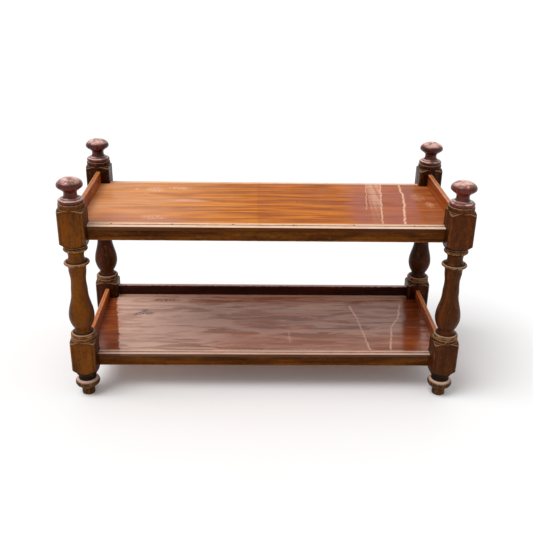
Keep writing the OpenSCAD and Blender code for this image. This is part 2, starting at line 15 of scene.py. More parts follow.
import logging
import math
from dataclasses import dataclass, field, replace
from enum import Enum
from functools import reduce
from typing import Callable, Iterable, Sequence

import bmesh
import bpy
from mathutils import Matrix, Vector, noise

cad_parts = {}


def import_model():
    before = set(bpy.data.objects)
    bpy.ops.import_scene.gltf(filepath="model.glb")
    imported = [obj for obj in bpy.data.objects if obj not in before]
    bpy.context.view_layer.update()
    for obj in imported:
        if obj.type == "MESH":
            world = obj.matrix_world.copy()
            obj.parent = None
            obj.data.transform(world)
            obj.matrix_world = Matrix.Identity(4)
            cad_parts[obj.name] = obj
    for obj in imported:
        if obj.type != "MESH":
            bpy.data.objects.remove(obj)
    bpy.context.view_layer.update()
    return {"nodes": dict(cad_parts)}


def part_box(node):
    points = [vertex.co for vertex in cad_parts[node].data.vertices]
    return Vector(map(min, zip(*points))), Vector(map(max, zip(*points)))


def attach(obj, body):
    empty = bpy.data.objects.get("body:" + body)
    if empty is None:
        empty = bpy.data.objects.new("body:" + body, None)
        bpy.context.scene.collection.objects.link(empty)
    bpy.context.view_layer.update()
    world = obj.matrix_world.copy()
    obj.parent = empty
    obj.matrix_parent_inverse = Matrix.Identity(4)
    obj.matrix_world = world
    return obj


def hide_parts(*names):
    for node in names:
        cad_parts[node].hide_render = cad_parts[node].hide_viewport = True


MM = 0.001
BODY = "root"
PICTURE_PIXELS = 533

Pair = tuple[float, float]
Place = tuple[float, float, float]
Rgb = tuple[float, float, float]
Socket = bpy.types.NodeSocket
Feed = Socket | float | Rgb

RISING: Pair = (0.0, 1.0)
FALLING: Pair = (1.0, 0.0)

log = logging.getLogger("buffet_table")


class Grain(Enum):
    """Direction in which the grain of a piece runs."""

    ALONG_X = 0
    ALONG_Y = 1
    ALONG_Z = 2


def tone(red: int, green: int, blue: int) -> Rgb:
    """Turns a colour as the eye reads it, 0 to 255, into the shader's linear colour.

    Args:
        red: Red, 0 to 255.
        green: Green, 0 to 255.
        blue: Blue, 0 to 255.

    Returns:
        The three linear values, 0 to 1.
    """

    def linear(value: int) -> float:
        """Linear value of one channel."""
        share = value / 255
        return share / 12.92 if share <= 0.04045 else ((share + 0.055) / 1.055) ** 2.4

    return linear(red), linear(green), linear(blue)


def nearness(distance: float, reach: float) -> float:
    """Share that falls from 1 at no distance to 0 at the reach."""
    return max(0.0, 1 - abs(distance) / reach)


# Outlines


def fast_then_slow(share: float) -> float:
    """Share of a change that starts fast and levels out."""
    return math.sin(math.pi / 2 * share)


def slow_then_fast(share: float) -> float:
    """Share of a change that starts level and ends fast."""
    return 1 - math.cos(math.pi / 2 * share)


@dataclass
class Outline:
    """Half outline of a turned piece, drawn from its foot upward.

    Each call adds a stretch that starts where the last one ended, and gives back the
    outline, so that calls follow each other.

    Attributes:
        radius: Radius that has been reached, in millimetres.
        height: Height that has been reached, in millimetres.
        points: Points drawn so far, as (radius, height).
        steps: Count of stretches in a curve.
    """

    radius: float
    height: float
    points: list[Pair] = field(default_factory=list)
    steps: int = 14

    def __post_init__(self) -> None:
        """Puts down the first point."""
        self.points.append((self.radius, self.height))

    def _to(self, radius: float, height: float) -> Outline:
        """Adds one point and moves on to it."""
        self.radius, self.height = radius, height
        self.points.append((radius, height))
        return self

    def step(self, radius: float) -> Outline:
        """Goes level to another radius."""
        return self._to(radius, self.height)

    def rise(self, height: float) -> Outline:
        """Goes straight up, or down where the height is negative."""
        return self._to(self.radius, self.height + height)

    def drum(self, radius: float, height: float) -> Outline:
        """Goes level to another radius, and then straight up or down."""
        return self.step(radius).rise(height)

    def slope(self, radius: float, height: float) -> Outline:
        """Goes in a straight line to another radius and height."""
        return self._to(radius, self.height + height)

    def bead(self, radius: float, height: float) -> Outline:
        """Adds a half-round bead.

        Args:
            radius: Radius at the bead's widest part.
            height: Height of the bead.

        Returns:
            The outline itself.
        """
        half, middle = height / 2, self.height + height / 2
        for i in range(self.steps + 1):
            angle = math.pi * (i / self.steps - 0.5)
            self._to(radius - half + half * math.cos(angle), middle + half * math.sin(angle))
        return self

    def _curve(
        self, radius: float, height: float, across: Callable[[float], float], up: Callable[[float], float]
    ) -> Outline:
        """Adds a curve.

        Args:
            radius: Radius at its upper end.
            height: Height of the stretch.
            across: Share of the change of radius at each share of the curve.
            up: Share of the height at each share of the curve.

        Returns:
            The outline itself.
        """
        start_r, start_z = self.radius, self.height
        for i in range(1, self.steps + 1):
            share = i / self.steps
            self._to(start_r + (radius - start_r) * across(share), start_z + height * up(share))
        return self

    def ogee(self, radius: float, height: float) -> Outline:
        """Adds an S-shaped change of radius with upright ends."""
        return self._curve(radius, height, lambda t: (1 - math.cos(math.pi * t)) / 2, lambda t: t)

    def swell(self, radius: float, height: float) -> Outline:
        """Adds a full curve that leaves steeply and ends upright."""
        return self._curve(radius, height, lambda t: fast_then_slow(t) ** 0.8, lambda t: t)

    def hollow_out(self, radius: float, height: float) -> Outline:
        """Adds a hollow that starts upright and ends steeply."""
        return self._curve(radius, height, slow_then_fast, fast_then_slow)

    def hollow_in(self, radius: float, height: float) -> Outline:
        """Adds a hollow that starts steeply and ends upright."""
        return self._curve(radius, height, fast_then_slow, slow_then_fast)

    def dome(self, height: float) -> Outline:
        """Closes the piece with a quarter of an ellipse that ends on the axis."""
        return self.hollow_out(0.0, height)


def eased(points: Sequence[Pair], cut: float, closed: bool, turn: float = 25.0) -> list[Pair]:
    """Cuts the sharp corners of an outline, so that its edges look worn.

    Args:
        points: Corners of the outline.
        cut: Length that is taken off on each side of a corner, up to a third of a stretch.
        closed: Whether the last point joins the first.
        turn: Smallest change of direction, in degrees, that counts as a corner.

    Returns:
        The outline with two points in place of each sharp corner.
    """
    kept = [p for i, p in enumerate(points) if i == 0 or math.dist(p, points[i - 1]) > 1e-6]
    if closed and math.dist(kept[0], kept[-1]) < 1e-6:
        kept.pop()
    result: list[Pair] = []
    for i, here in enumerate(kept):
        if not closed and i in (0, len(kept) - 1):
            result.append(here)
            continue
        before, after = Vector(kept[i - 1]), Vector(kept[(i + 1) % len(kept)])
        corner = Vector(here)
        back, on = before - corner, after - corner
        if math.degrees((-back).angle(on, 0.0)) < turn:
            result.append(here)
            continue
        for way in (back, on):
            reach = min(cut, way.length * 0.35)
            result.append(tuple(corner + way.normalized() * reach))
    return result


def divided(points: Sequence[Pair], longest: float, closed: bool) -> list[Pair]:
    """Adds points along the long stretches of an outline.

    Args:
        points: Points of the outline.
        longest: Longest stretch that stays whole.
        closed: Whether the last point joins the first.

    Returns:
        The outline with no stretch longer than that.
    """
    result: list[Pair] = []
    for i in range(len(points) if closed else len(points) - 1):
        a, b = points[i], points[(i + 1) % len(points)]
        parts = max(1, math.ceil(math.dist(a, b) / longest))
        for k in range(parts):
            t = k / parts
            result.append((a[0] + (b[0] - a[0]) * t, a[1] + (b[1] - a[1]) * t))
    if not closed:
        result.append(points[-1])
    return result


def worn_dips(place: Place, depth: float, size: float) -> float:
    """Depth of the dents at a place in millimetres, where size is a dent's usual width."""
    here = Vector(place) / size
    return depth * max(0.0, noise.noise(here) + 0.35 * noise.noise(here * 2.7)) ** 1.5


# Meshes


def linked(name: str, data: bpy.types.ID) -> bpy.types.Object:
    """Makes an object that holds some data, and links it to the scene."""
    holder = bpy.data.objects.new(name, data)
    bpy.context.scene.collection.objects.link(holder)
    return holder


@dataclass
class RingStack:
    """A closed mesh made of rings with the same count of points, laid one after the other.

    Attributes:
        rings: Rows of places, from one end of the piece to the other.
        wear: How worn each place is, row by row.
        dirt_and_shade: Dirt, and painted shade on rims, necks and board edges, row by row.
    """

    rings: list[list[Place]] = field(default_factory=list)
    wear: list[float] = field(default_factory=list)
    dirt_and_shade: list[float] = field(default_factory=list)

    def add(self, places: list[Place], wear: Iterable[float], dirt_and_shade: Iterable[float]) -> None:
        """Lays one more ring, with how worn each of its places is and its dirt and painted shade."""
        self.rings.append(places)
        self.wear += wear
        self.dirt_and_shade += dirt_and_shade

    def build(self, name: str, sharp_angle: float = 38.0) -> bpy.types.Object:
        """Makes the mesh object, with its two ends closed.

        Args:
            name: Name of the object.
            sharp_angle: Angle between faces, in degrees, above which their edge stays sharp.

        Returns:
            The new object, linked to the scene, in metres.
        """
        count = len(self.rings[0])
        vertices = [Vector(place) * MM for ring in self.rings for place in ring]
        marks = {"wear": list(self.wear), "dirt_and_shade": list(self.dirt_and_shade)}
        faces: list[tuple[int, ...]] = []
        for row in range(len(self.rings) - 1):
            low, high = row * count, (row + 1) * count
            for i in range(count):
                k = (i + 1) % count
                faces.append((low + i, low + k, high + k, high + i))
        for row, forward in ((0, False), (len(self.rings) - 1, True)):
            start, hub = row * count, len(vertices)
            vertices.append(sum(vertices[start : start + count], Vector()) / count)
            for values in marks.values():
                values.append(sum(values[start : start + count]) / count)
            for i in range(count):
                k = (i + 1) % count
                pair = (start + i, start + k) if forward else (start + k, start + i)
                faces.append((*pair, hub))
        mesh = bpy.data.meshes.new(name)
        mesh.from_pydata(vertices, [], faces)
        for label, values in marks.items():
            layer = mesh.attributes.new(label, "FLOAT", "POINT")
            layer.data.foreach_set("value", values)
        tidy_mesh(mesh, sharp_angle)
        return linked(name, mesh)


def tidy_mesh(mesh: bpy.types.Mesh, sharp_angle: float) -> None:
    """Merges doubled points, turns the faces outward and sets the shading.

    Args:
        mesh: Mesh to tidy.
        sharp_angle: Angle between faces, in degrees, above which their edge stays sharp.
    """
    draft = bmesh.new()
    draft.from_mesh(mesh)
    bmesh.ops.remove_doubles(draft, verts=draft.verts, dist=0.02 * MM)
    bmesh.ops.dissolve_degenerate(draft, edges=draft.edges, dist=0.01 * MM)
    bmesh.ops.recalc_face_normals(draft, faces=draft.faces)
    draft.to_mesh(mesh)
    draft.free()
    mesh.shade_smooth()
    mesh.set_sharp_from_angle(angle=math.radians(sharp_angle))
    mesh.update()


@dataclass
class TurnedPiece:
    """A piece turned on the lathe about an upright axis, which may hold square blocks.

    Sizes are in millimetres, and wear, dirt and painted shade go from 0 to 1.

    Attributes:
        centre: Place of the axis.
        dent_depth, dent_size: Depth of the deepest dents, and usual width of a dent.
        plain_angles: Count of even steps round the axis.
        arris_angles: Steps that are added on both sides of a block's arris, in degrees.
        ring_step: Longest height between two rings of a turning.
        core_r: Radius under which a surface lies inside another piece, and takes no wear.
        full_relief: How far a form must stand proud to be fully worn.
        dirt_depths: How deep a groove must be for dirt to start and to fill it.
        block_half: Half the width of a square block.
        arris_round: Radius to which a block's arrises are worn.
        arris_wear: Wear on the arrises, and how far it reaches.
        border_dirt: How far from the arris dirt lies on a face, and how far it spreads.
        top_wear, foot_dirt: How far they reach from a block's top line and its foot line.
        line_dirt: How far under its top line dirt lies, and how far it spreads.
        face_dirt: Dirt on the faces where it is thickest.
        shoulder_dirt: Dirt at the outer end of a shoulder, below and above the block.
        shoulder_clean: How much of it is gone at the faces.
        shoulder_rows, row_step: Count of rings on a shoulder, and height between rings on a face.
        nick: Depth of the nicks where a block is worn.
        stack: The rings laid so far.
    """

    centre: Pair
    dent_depth: float = 0.35
    dent_size: float = 16.0
    plain_angles: int = 96
    arris_angles: tuple[float, ...] = (1.3, 2.6, 5.2, 6.5, 9.4)
    ring_step: float = 2.4
    core_r: float = 15.0
    full_relief: float = 4.0
    dirt_depths: Pair = (0.7, 2.3)
    block_half: float = 37.5
    arris_round: float = 10.0
    arris_wear: Pair = (0.6, 3.0)
    border_dirt: Pair = (9.0, 7.0)
    top_wear: float = 2.0
    foot_dirt: float = 10.0
    line_dirt: Pair = (6.0, 5.0)
    face_dirt: float = 0.45
    shoulder_dirt: Pair = (0.95, 0.9)
    shoulder_clean: float = 0.6
    shoulder_rows: int = 10
    row_step: float = 3.0
    nick: float = 0.9
    stack: RingStack = field(default_factory=RingStack)

    def __post_init__(self) -> None:
        """Chooses the angles of the points, with more of them on a block's arrises."""
        plain = [360 * i / self.plain_angles for i in range(self.plain_angles)]
        arris = [45 + 90 * k + side * a for k in range(4) for side in (-1, 1) for a in self.arris_angles]
        self.angles = [math.radians(a) for a in sorted(plain + arris)]

    def _dented(self, radius: float, angle: float, height: float, extra: float) -> Place:
        """Place of one point, moved inward by the dents there.

        Args:
            radius: Its distance from the axis.
            angle: Its angle round the axis.
            height: Its height.
            extra: Depth by which dents are deeper there.

        Returns:
            The place, in millimetres.
        """
        c, s = math.cos(angle), math.sin(angle)
        x, y = self.centre[0] + radius * c, self.centre[1] + radius * s
        inward = worn_dips((x, y, height), self.dent_depth + extra, self.dent_size)
        reach = max(radius - min(inward, radius * 0.1), 0.0)
        return self.centre[0] + reach * c, self.centre[1] + reach * s, height

    def turn(self, points: Sequence[Pair], painted_shade: float = 0.0, ease: float = 0.6, window: float = 7.0) -> None:
        """Lays the rings of a turned outline.

        Args:
            points: The outline, as (radius, height), from the foot upward.
            painted_shade: Painted shade that lies all over this stretch, where it sits under a block.
            ease: Length cut off each side of a sharp corner.
            window: How near a point of the outline is to count for wear; for dirt it is half.
        """
        line = divided(eased(points, ease, closed=False), self.ring_step, closed=False)
        shallow, full = self.dirt_depths
        for radius, height in line:
            relief = depth = 0.0
            if radius > self.core_r:
                near = [
                    (r, abs(z - height)) for r, z in line if max(abs(r - radius), abs(z - height)) <= window
                ]
                close = [r for r, far in near if far <= window / 2]
                relief = radius - sum(r for r, _ in near) / len(near)
                depth = sum(close) / len(close) - radius
            wear = min(1.0, max(0.0, relief / self.full_relief))
            # Dirt in the grooves and the stretch's painted shade go into one channel.
            dirt_and_shade = min(1.0, max(painted_shade, (depth - shallow) / (full - shallow)))
            places = [self._dented(radius, a, height, 0.0) for a in self.angles]
            self.stack.add(places, [wear] * len(places), [dirt_and_shade] * len(places))

    def _square_radius(self, angle: float, rounding: float) -> float:
        """Distance from the axis to a block's surface.

        Args:
            angle: Angle round the axis.
            rounding: Radius of the block's arris.

        Returns:
            The distance, in millimetres.
        """
        c, s = abs(math.cos(angle)), abs(math.sin(angle))
        big, small = max(c, s), min(c, s)
        flat = self.block_half / big
        hub = self.block_half - rounding
        if flat * small <= hub:
            return flat
        along = hub * (big + small)
        return along + math.sqrt(along * along - 2 * hub * hub + rounding * rounding)

    def block(self, bottom: float, top: float, foot: Pair, head: Pair) -> None:
        """Lays a square block whose corners are turned away at both ends.

        Args:
            bottom: Height of the block's lower end.
            top: Height of its upper end.
            foot: Radius at the lower end, and height over which it grows to the corners.
            head: The same at the upper end.
        """
        worn_r = [
            self.arris_round * (1 + 0.3 * noise.noise(Vector((self.centre[0], q, 0.37)))) for q in range(4)
        ]
        reach = [self._square_radius(a, worn_r[int(math.degrees(a) // 90) % 4]) for a in self.angles]
        low_bend, high_bend = self._bends(reach, foot[0]), self._bends(reach, head[0])
        low = [bottom + foot[1] * b for b in low_bend]
        high = [top - head[1] * b for b in high_bend]
        for row in range(self.shoulder_rows):
            t = row / self.shoulder_rows
            radii, rise = self._shoulder_row(foot, low_bend, reach, t)
            heights = [bottom + q for q in rise]
            self._even_ring(radii, heights, 0.0, self.shoulder_dirt[0] - self.shoulder_clean * t * t)
        self._faces(reach, low, high, max(4, round((top - bottom) / self.row_step)))
        for row in range(self.shoulder_rows - 1, -1, -1):
            t = row / self.shoulder_rows
            radii, drop = self._shoulder_row(head, high_bend, reach, t)
            heights = [top - q for q in drop]
            wear = max(0.0, 4 * t - 3)
            self._even_ring(radii, heights, wear, self.shoulder_dirt[1] - self.shoulder_clean * t)

    def _faces(self, reach: list[float], low: list[float], high: list[float], rows: int) -> None:
        """Lays the rings of a block's faces.

        Args:
            reach: Distance of the faces from the axis at each angle.
            low: Height at each angle where the lower shoulder ends.
            high: Height at each angle where the upper shoulder starts.
            rows: Count of stretches between the rings.
        """
        inset = [self.block_half * (1 - self._slant(a)) for a in self.angles]
        arris = [self.arris_wear[0] * nearness(d, self.arris_wear[1]) for d in inset]
        border = [nearness(d - self.border_dirt[0], self.border_dirt[1]) for d in inset]
        for row in range(rows + 1):
            share = row / rows
            heights = [a + (b - a) * share for a, b in zip(low, high)]
            top = [nearness(b - z, self.top_wear) for z, b in zip(heights, high)]
            foot = [nearness(z - a, self.foot_dirt) for z, a in zip(heights, low)]
            line = [nearness(b - z - self.line_dirt[0], self.line_dirt[1]) for z, b in zip(heights, high)]
            wear = [max(a, t) for a, t in zip(arris, top)]
            darkening = [max(marks) for marks in zip(border, foot, line)]
            dirt_and_shade = [self.face_dirt * c * (1 - w) for c, w in zip(darkening, wear)]
            self._block_ring(reach, heights, wear, dirt_and_shade, self.nick)

    def _slant(self, angle: float) -> float:
        """Place of an angle on its face, from 0 in the middle of the face to 1 at the arris."""
        c, s = abs(math.cos(angle)), abs(math.sin(angle))
        return min(c, s) / max(c, s)

    def _bends(self, reach: list[float], start_r: float) -> list[float]:
        """How far round a shoulder's curve each angle meets the block's faces, from 0 to 1."""
        span = self.block_half * math.sqrt(2) - start_r
        return [2 / math.pi * math.asin(min(1.0, max(0.0, (q - start_r) / span))) for q in reach]

    def _shoulder_row(
        self, end: Pair, bends: list[float], reach: list[float], share: float
    ) -> tuple[list[float], list[float]]:
        """Shape of one row of a shoulder.

        Args:
            end: Radius at the block's end, and length of the shoulder.
            bends: How far round the curve each angle meets the faces.
            reach: Distance of the faces from the axis at each angle.
            share: Place of the row, from 0 at the block's end to 1 at the faces.

        Returns:
            The radii, and the distances from the block's end.
        """
        start_r, length = end
        span = self.block_half * math.sqrt(2) - start_r
        radii = [min(q, start_r + span * fast_then_slow(b * share)) for q, b in zip(reach, bends)]
        return radii, [length * b * share for b in bends]

    def _even_ring(self, radii: list[float], heights: list[float], wear: float, dirt_and_shade: float) -> None:
        """Lays one ring of a shoulder, which is worn and dirty to the same degree all round."""
        self._block_ring(radii, heights, [wear] * len(radii), [dirt_and_shade] * len(radii), 0.0)

    def _block_ring(
        self, radii: list[float], heights: list[float], wear: list[float], dirt_and_shade: list[float], nick: float
    ) -> None:
        """Lays one ring of a block, with nicks where it is worn."""
        row = zip(radii, self.angles, heights, wear)
        self.stack.add([self._dented(r, a, z, nick * w) for r, a, z, w in row], wear, dirt_and_shade)


@dataclass
class BarPiece:
    """A sawn or moulded bar: one closed section, carried along X or Y.

    Attributes:
        grain: Direction in which the bar and its grain run.
        dent_depth, dent_size: Depth of the deepest dents, and usual width of a dent.
        spared: Wear up to which a point has no dents.
        stack: The rings laid so far.
    """

    grain: Grain
    dent_depth: float = 0.3
    dent_size: float = 22.0
    spared: float = 0.05
    stack: RingStack = field(default_factory=RingStack)

    def ring(self, at: float, section: Sequence[Pair], wear: Sequence[float], dirt_and_shade: Sequence[float]) -> None:
        """Lays the section at one place along the bar.

        Args:
            at: Place along the bar, in millimetres.
            section: Points across the bar, as (place across, height).
            wear: How worn each point is.
            dirt_and_shade: How dirty each point is, with the painted shade of a board's upright edges.
        """
        middle_u = sum(u for u, _ in section) / len(section)
        middle_z = sum(z for _, z in section) / len(section)
        places = []
        for (u, z), worn in zip(section, wear):
            if worn > self.spared:
                dip = worn_dips(self._place(at, u, z), self.dent_depth * (0.3 + worn), self.dent_size)
                u += math.copysign(min(dip, abs(u - middle_u)), middle_u - u)
                z += math.copysign(min(dip, abs(z - middle_z)), middle_z - z)
            places.append(self._place(at, u, z))
        self.stack.add(places, wear, dirt_and_shade)

    def _place(self, at: float, across: float, height: float) -> Place:
        """Place of a point from its place along the bar and across it."""
        return (at, across, height) if self.grain is Grain.ALONG_X else (across, at, height)

    def run(
        self, ends: Pair, step: float, section: Sequence[Pair], wear: Sequence[float], dirt_and_shade: Sequence[float]
    ) -> None:
        """Lays the same section from one place to another.

        Args:
            ends: Where the run starts and ends.
            step: Longest distance between two rings.
            section: Points across the bar.
            wear: How worn each point is.
            dirt_and_shade: How dirty each point is, with the painted shade of a board's upright edges.
        """
        start, end = ends
        parts = max(1, math.ceil(abs(end - start) / step))
        for i in range(parts + 1):
            self.ring(start + (end - start) * i / parts, section, wear, dirt_and_shade)


def corner_wear(section: Sequence[Pair], corners: Sequence[Pair], reach: float) -> list[float]:
    """How worn each point of a section is, from 1 at a corner that wears to 0 at the reach."""
    return [nearness(min(math.dist(p, c) for c in corners), reach) for p in section]


# Patterns and marks


@dataclass(frozen=True)
class Pattern:
    """A soft random pattern on a surface, which may be turned into patches.

    Attributes:
        scale: Count of its features in a metre.
        detail: Count of its finer layers.
        rough: Strength of those layers.
        bend: How far it is bent.
        along: Scale along the grain; a small value draws it out.
        shift: Distance by which it is moved, so that two patterns differ.
        limits: Values of the noise, about 0.2 to 0.8, between which the patches begin and are full.
        levels: Result off the patches and on them.
    """

    scale: float
    detail: float = 3.0
    rough: float = 0.5
    bend: float = 0.0
    along: float = 1.0
    shift: float = 0.0
    limits: Pair = RISING
    levels: Pair = RISING


@dataclass(frozen=True)
class Spot:
    """A soft-edged ellipse on a level surface, which a mark fills.

    Attributes:
        centre: Its middle, in millimetres along X and Y.
        size: Its half widths, in millimetres.
        strength: How strongly the mark shows.
        soft: Share of its width over which it fades.
    """

    centre: Pair
    size: Pair
    strength: float = 1.0
    soft: float = 0.7


@dataclass(frozen=True)
class Line:
    """A wavering line across a board.

    Attributes:
        front: X and Y of its front end, in millimetres.
        back: X and Y of its back end, in millimetres.
        wobble: How far it wavers, in millimetres.
    """

    front: Pair
    back: Pair
    wobble: float


@dataclass(frozen=True)
class Border(Line):
    """A line that bounds a haze or a film.

    Attributes:
        soft: Distances past the line, in millimetres, between which the bounded thing changes.
    """

    soft: Pair


@dataclass(frozen=True)
class Trace(Line):
    """A thin pale line, a painted reflection in the polish.

    Attributes:
        width: Its width, in millimetres.
        strength: How strongly it shows.
    """

    width: float
    strength: float


WAVER = Pattern(28.0, 3.0, 0.6, along=0.0)
TRACE_FADE = 8.0


def metres(limits: Pair) -> Pair:
    """Turns two distances in millimetres into metres."""
    return limits[0] * MM, limits[1] * MM


class Wiring:
    """Short ways to add nodes to a tree and to join them."""

    def __init__(self, tree: bpy.types.NodeTree) -> None:
        """Clears the tree for its new nodes."""
        tree.nodes.clear()
        self.tree = tree

    def add(
        self, kind: str, sockets: dict[str, Feed] | None = None, **settings: str
    ) -> bpy.types.ShaderNode:
        """Adds one node and feeds some of its sockets.

        Args:
            kind: Blender's name of the kind of node.
            sockets: What each of them gets, by the socket's name.
            settings: Options of the node, by their names.

        Returns:
            The new node.
        """
        node = self.tree.nodes.new(kind)
        for label, option in settings.items():
            setattr(node, label, option)
        for label, value in (sockets or {}).items():
            self.feed(node.inputs[label], value)
        return node

    def feed(self, socket: Socket, value: Feed) -> None:
        """Joins an output to a socket, or writes a plain value in it.

        Args:
            socket: The socket.
            value: The output or the value.
        """
        if isinstance(value, Socket):
            self.tree.links.new(value, socket)
        elif socket.type == "RGBA":
            socket.default_value = (*value, 1.0)
        else:
            socket.default_value = value

    def maths(self, operation: str, *values: Feed) -> Socket:
        """Adds one sum.

        Args:
            operation: Blender's name of the operation.
            values: Its values or outputs.

        Returns:
            Output of the result.
        """
        node = self.add("ShaderNodeMath", operation=operation)
        for socket, value in zip(node.inputs, values):
            self.feed(socket, value)
        return node.outputs[0]


class NodeSketch(Wiring):
    """One material, and short ways to draw in it.

    Attributes:
        material: The material that is drawn.
        x: Place along X of the point that is shaded, in metres.
        y: Its place along Y.
        back: How far the surface faces the table's back, from -1 to 1.
        up: How far it faces up.
    """

    def __init__(self, name: str) -> None:
        """Starts a material with one principled shader.

        Args:
            name: Name of the material.
        """
        self.material = bpy.data.materials.new(name)
        self.material.use_nodes = True
        super().__init__(self.material.node_tree)
        self.shader = self.add("ShaderNodeBsdfPrincipled")
        output = self.add("ShaderNodeOutputMaterial")
        self.feed(output.inputs["Surface"], self.shader.outputs["BSDF"])
        source = self.add("ShaderNodeTexCoord")
        self.place = source.outputs["Object"]
        self.x, self.y, _ = self._split(self.place)
        _, self.back, self.up = self._split(source.outputs["Normal"])

    def dress(self, sockets: dict[str, Feed]) -> None:
        """Feeds the shader's sockets, by their names."""
        for label, value in sockets.items():
            self.feed(self.shader.inputs[label], value)

    def times(self, first: Feed, *others: Feed) -> Socket:
        """Multiplies two or more values."""
        return reduce(lambda product, other: self.maths("MULTIPLY", product, other), others, first)

    def plus(self, first: Feed, second: Feed) -> Socket:
        """Adds two values."""
        return self.maths("ADD", first, second)

    def minus(self, first: Feed, second: Feed) -> Socket:
        """Takes the second value from the first."""
        return self.maths("SUBTRACT", first, second)

    def plus_share(self, base: Feed, value: Feed, share: Feed) -> Socket:
        """Adds a share of a value to another."""
        return self.maths("MULTIPLY_ADD", value, share, base)

    def _split(self, vector: Socket) -> tuple[Socket, ...]:
        """Splits a vector into its X, Y and Z."""
        return tuple(self.add("ShaderNodeSeparateXYZ", {"Vector": vector}).outputs)

    def noise(self, pattern: Pattern, grain: Grain | None = None) -> Socket:
        """Draws the noise of a pattern.

        Args:
            pattern: The pattern.
            grain: Direction in which it is drawn out, or None where it isn't.

        Returns:
            Output of its value, about 0.2 to 0.8.
        """
        where = self.place
        if grain is not None:
            scale = [1.0] * 3
            scale[grain.value] = pattern.along
            moved = (pattern.shift, pattern.shift * 1.7, pattern.shift * 0.6)
            sockets = {"Vector": where, "Scale": scale, "Location": moved}
            where = self.add("ShaderNodeMapping", sockets).outputs[0]
        sockets = {
            "Vector": where, "Scale": pattern.scale, "Detail": pattern.detail,
            "Roughness": pattern.rough, "Distortion": pattern.bend,
        }
        return self.add("ShaderNodeTexNoise", sockets).outputs[0]

    def between(self, value: Feed, limits: Pair, levels: tuple[Feed, Feed] = RISING) -> Socket:
        """Turns a value between two limits into a smooth step between two levels.

        Args:
            value: Value or output that is read.
            limits: Values at which the step starts and ends.
            levels: Results before the step and after it.

        Returns:
            Output of the step.
        """
        sockets = {
            "Value": value, "From Min": limits[0], "From Max": limits[1],
            "To Min": levels[0], "To Max": levels[1],
        }
        return self.add("ShaderNodeMapRange", sockets, interpolation_type="SMOOTHSTEP").outputs[0]

    def patches(self, pattern: Pattern, grain: Grain | None = None, levels: Pair | None = None) -> Socket:
        """Draws a pattern as patches, between its own levels or those that are given."""
        return self.between(self.noise(pattern, grain), pattern.limits, levels or pattern.levels)

    def step_x(self, limits: Pair, levels: tuple[Feed, Feed] = RISING) -> Socket:
        """Smooth step along X, with its limits in millimetres."""
        return self.between(self.x, metres(limits), levels)

    def step_y(self, limits: Pair, levels: tuple[Feed, Feed] = RISING) -> Socket:
        """Smooth step along Y, with its limits in millimetres."""
        return self.between(self.y, metres(limits), levels)

    def mixed(self, share: Feed, first: Feed, second: Feed, way: str = "MIX") -> Socket:
        """Mixes two colours.

        Args:
            share: Share of the second colour.
            first: First colour or output.
            second: Second colour or output.
            way: Blender's name of the way they mix.

        Returns:
            Output of the colour.
        """
        node = self.add("ShaderNodeMix", data_type="RGBA", blend_type=way)
        self.feed(node.inputs["Factor"], share)
        self.feed(node.inputs[6], first)
        self.feed(node.inputs[7], second)
        return node.outputs[2]

    def attribute(self, label: str) -> Socket:
        """Reads a value that is kept at the points of the mesh."""
        return self.add("ShaderNodeAttribute", attribute_name=label).outputs["Fac"]

    def ramp(self, value: Socket, stops: Sequence[tuple[float, Rgb]]) -> Socket:
        """Turns a value into a colour by a row of stops.

        Args:
            value: Value that is read.
            stops: Pairs of a place, 0 to 1, and a colour.

        Returns:
            Output of the colour.
        """
        node = self.add("ShaderNodeValToRGB", {"Fac": value})
        elements = node.color_ramp.elements
        while len(elements) < len(stops):
            elements.new(1.0)
        for element, (at, colour) in zip(elements, stops):
            element.position = at
            element.color = (*colour, 1.0)
        return node.outputs[0]

    def uneven(self, value: Socket, rub: Socket, depth: float, limits: Pair) -> Socket:
        """Steps a value between limits, with its edge broken up by a noise of some depth."""
        return self.between(self.plus(value, self.times(self.minus(rub, 0.5), depth)), limits)

    def spot(self, spot: Spot) -> Socket:
        """Draws a soft-edged ellipse.

        Args:
            spot: The ellipse.

        Returns:
            Output of 1 inside and 0 outside.
        """
        squares = []
        for place, middle, size in zip((self.x, self.y), spot.centre, spot.size):
            away = self.maths("DIVIDE", self.minus(place, middle * MM), size * MM)
            squares.append(self.times(away, away))
        distance = self.maths("SQRT", self.plus(*squares))
        return self.between(distance, (1 - spot.soft, 1.0), FALLING)

    def off_line(self, line: Line) -> Socket:
        """Distance past a wavering line.

        Args:
            line: The line.

        Returns:
            Output of the distance along X, in metres.
        """
        (front_x, front_y), (back_x, back_y) = line.front, line.back
        slope = (back_x - front_x) / (back_y - front_y)
        straight = self.plus_share(front_x * MM, self.minus(self.y, front_y * MM), slope)
        wave = self.minus(self.noise(WAVER, Grain.ALONG_X), 0.5)
        return self.minus(self.x, self.plus_share(straight, wave, line.wobble * MM * 2))

    def past(self, border: Border, levels: Pair = RISING) -> Socket:
        """Draws the side past a border, at the second of two levels."""
        return self.between(self.off_line(border), metres(border.soft), levels)

    def trace(self, trace: Trace) -> Socket:
        """Draws a thin wavering line.

        Args:
            trace: The line.

        Returns:
            Output of 1 on the line and 0 off it.
        """
        off = self.maths("ABSOLUTE", self.off_line(trace))
        on_line = self.between(off, metres((0.0, trace.width / 2)), FALLING)
        low, high = sorted((trace.front[1], trace.back[1]))
        after_low = self.step_y((low - TRACE_FADE, low + TRACE_FADE))
        before_high = self.step_y((high - TRACE_FADE, high + TRACE_FADE), FALLING)
        return self.times(on_line, after_low, before_high)

    def emboss(self, relief: Socket, depth: float, strength: float) -> None:
        """Raises the surface by a relief of 0 to 1, whose full depth is in millimetres."""
        bump = self.add("ShaderNodeBump", {"Height": relief, "Distance": depth * MM, "Strength": strength})
        self.dress({"Normal": bump.outputs[0]})


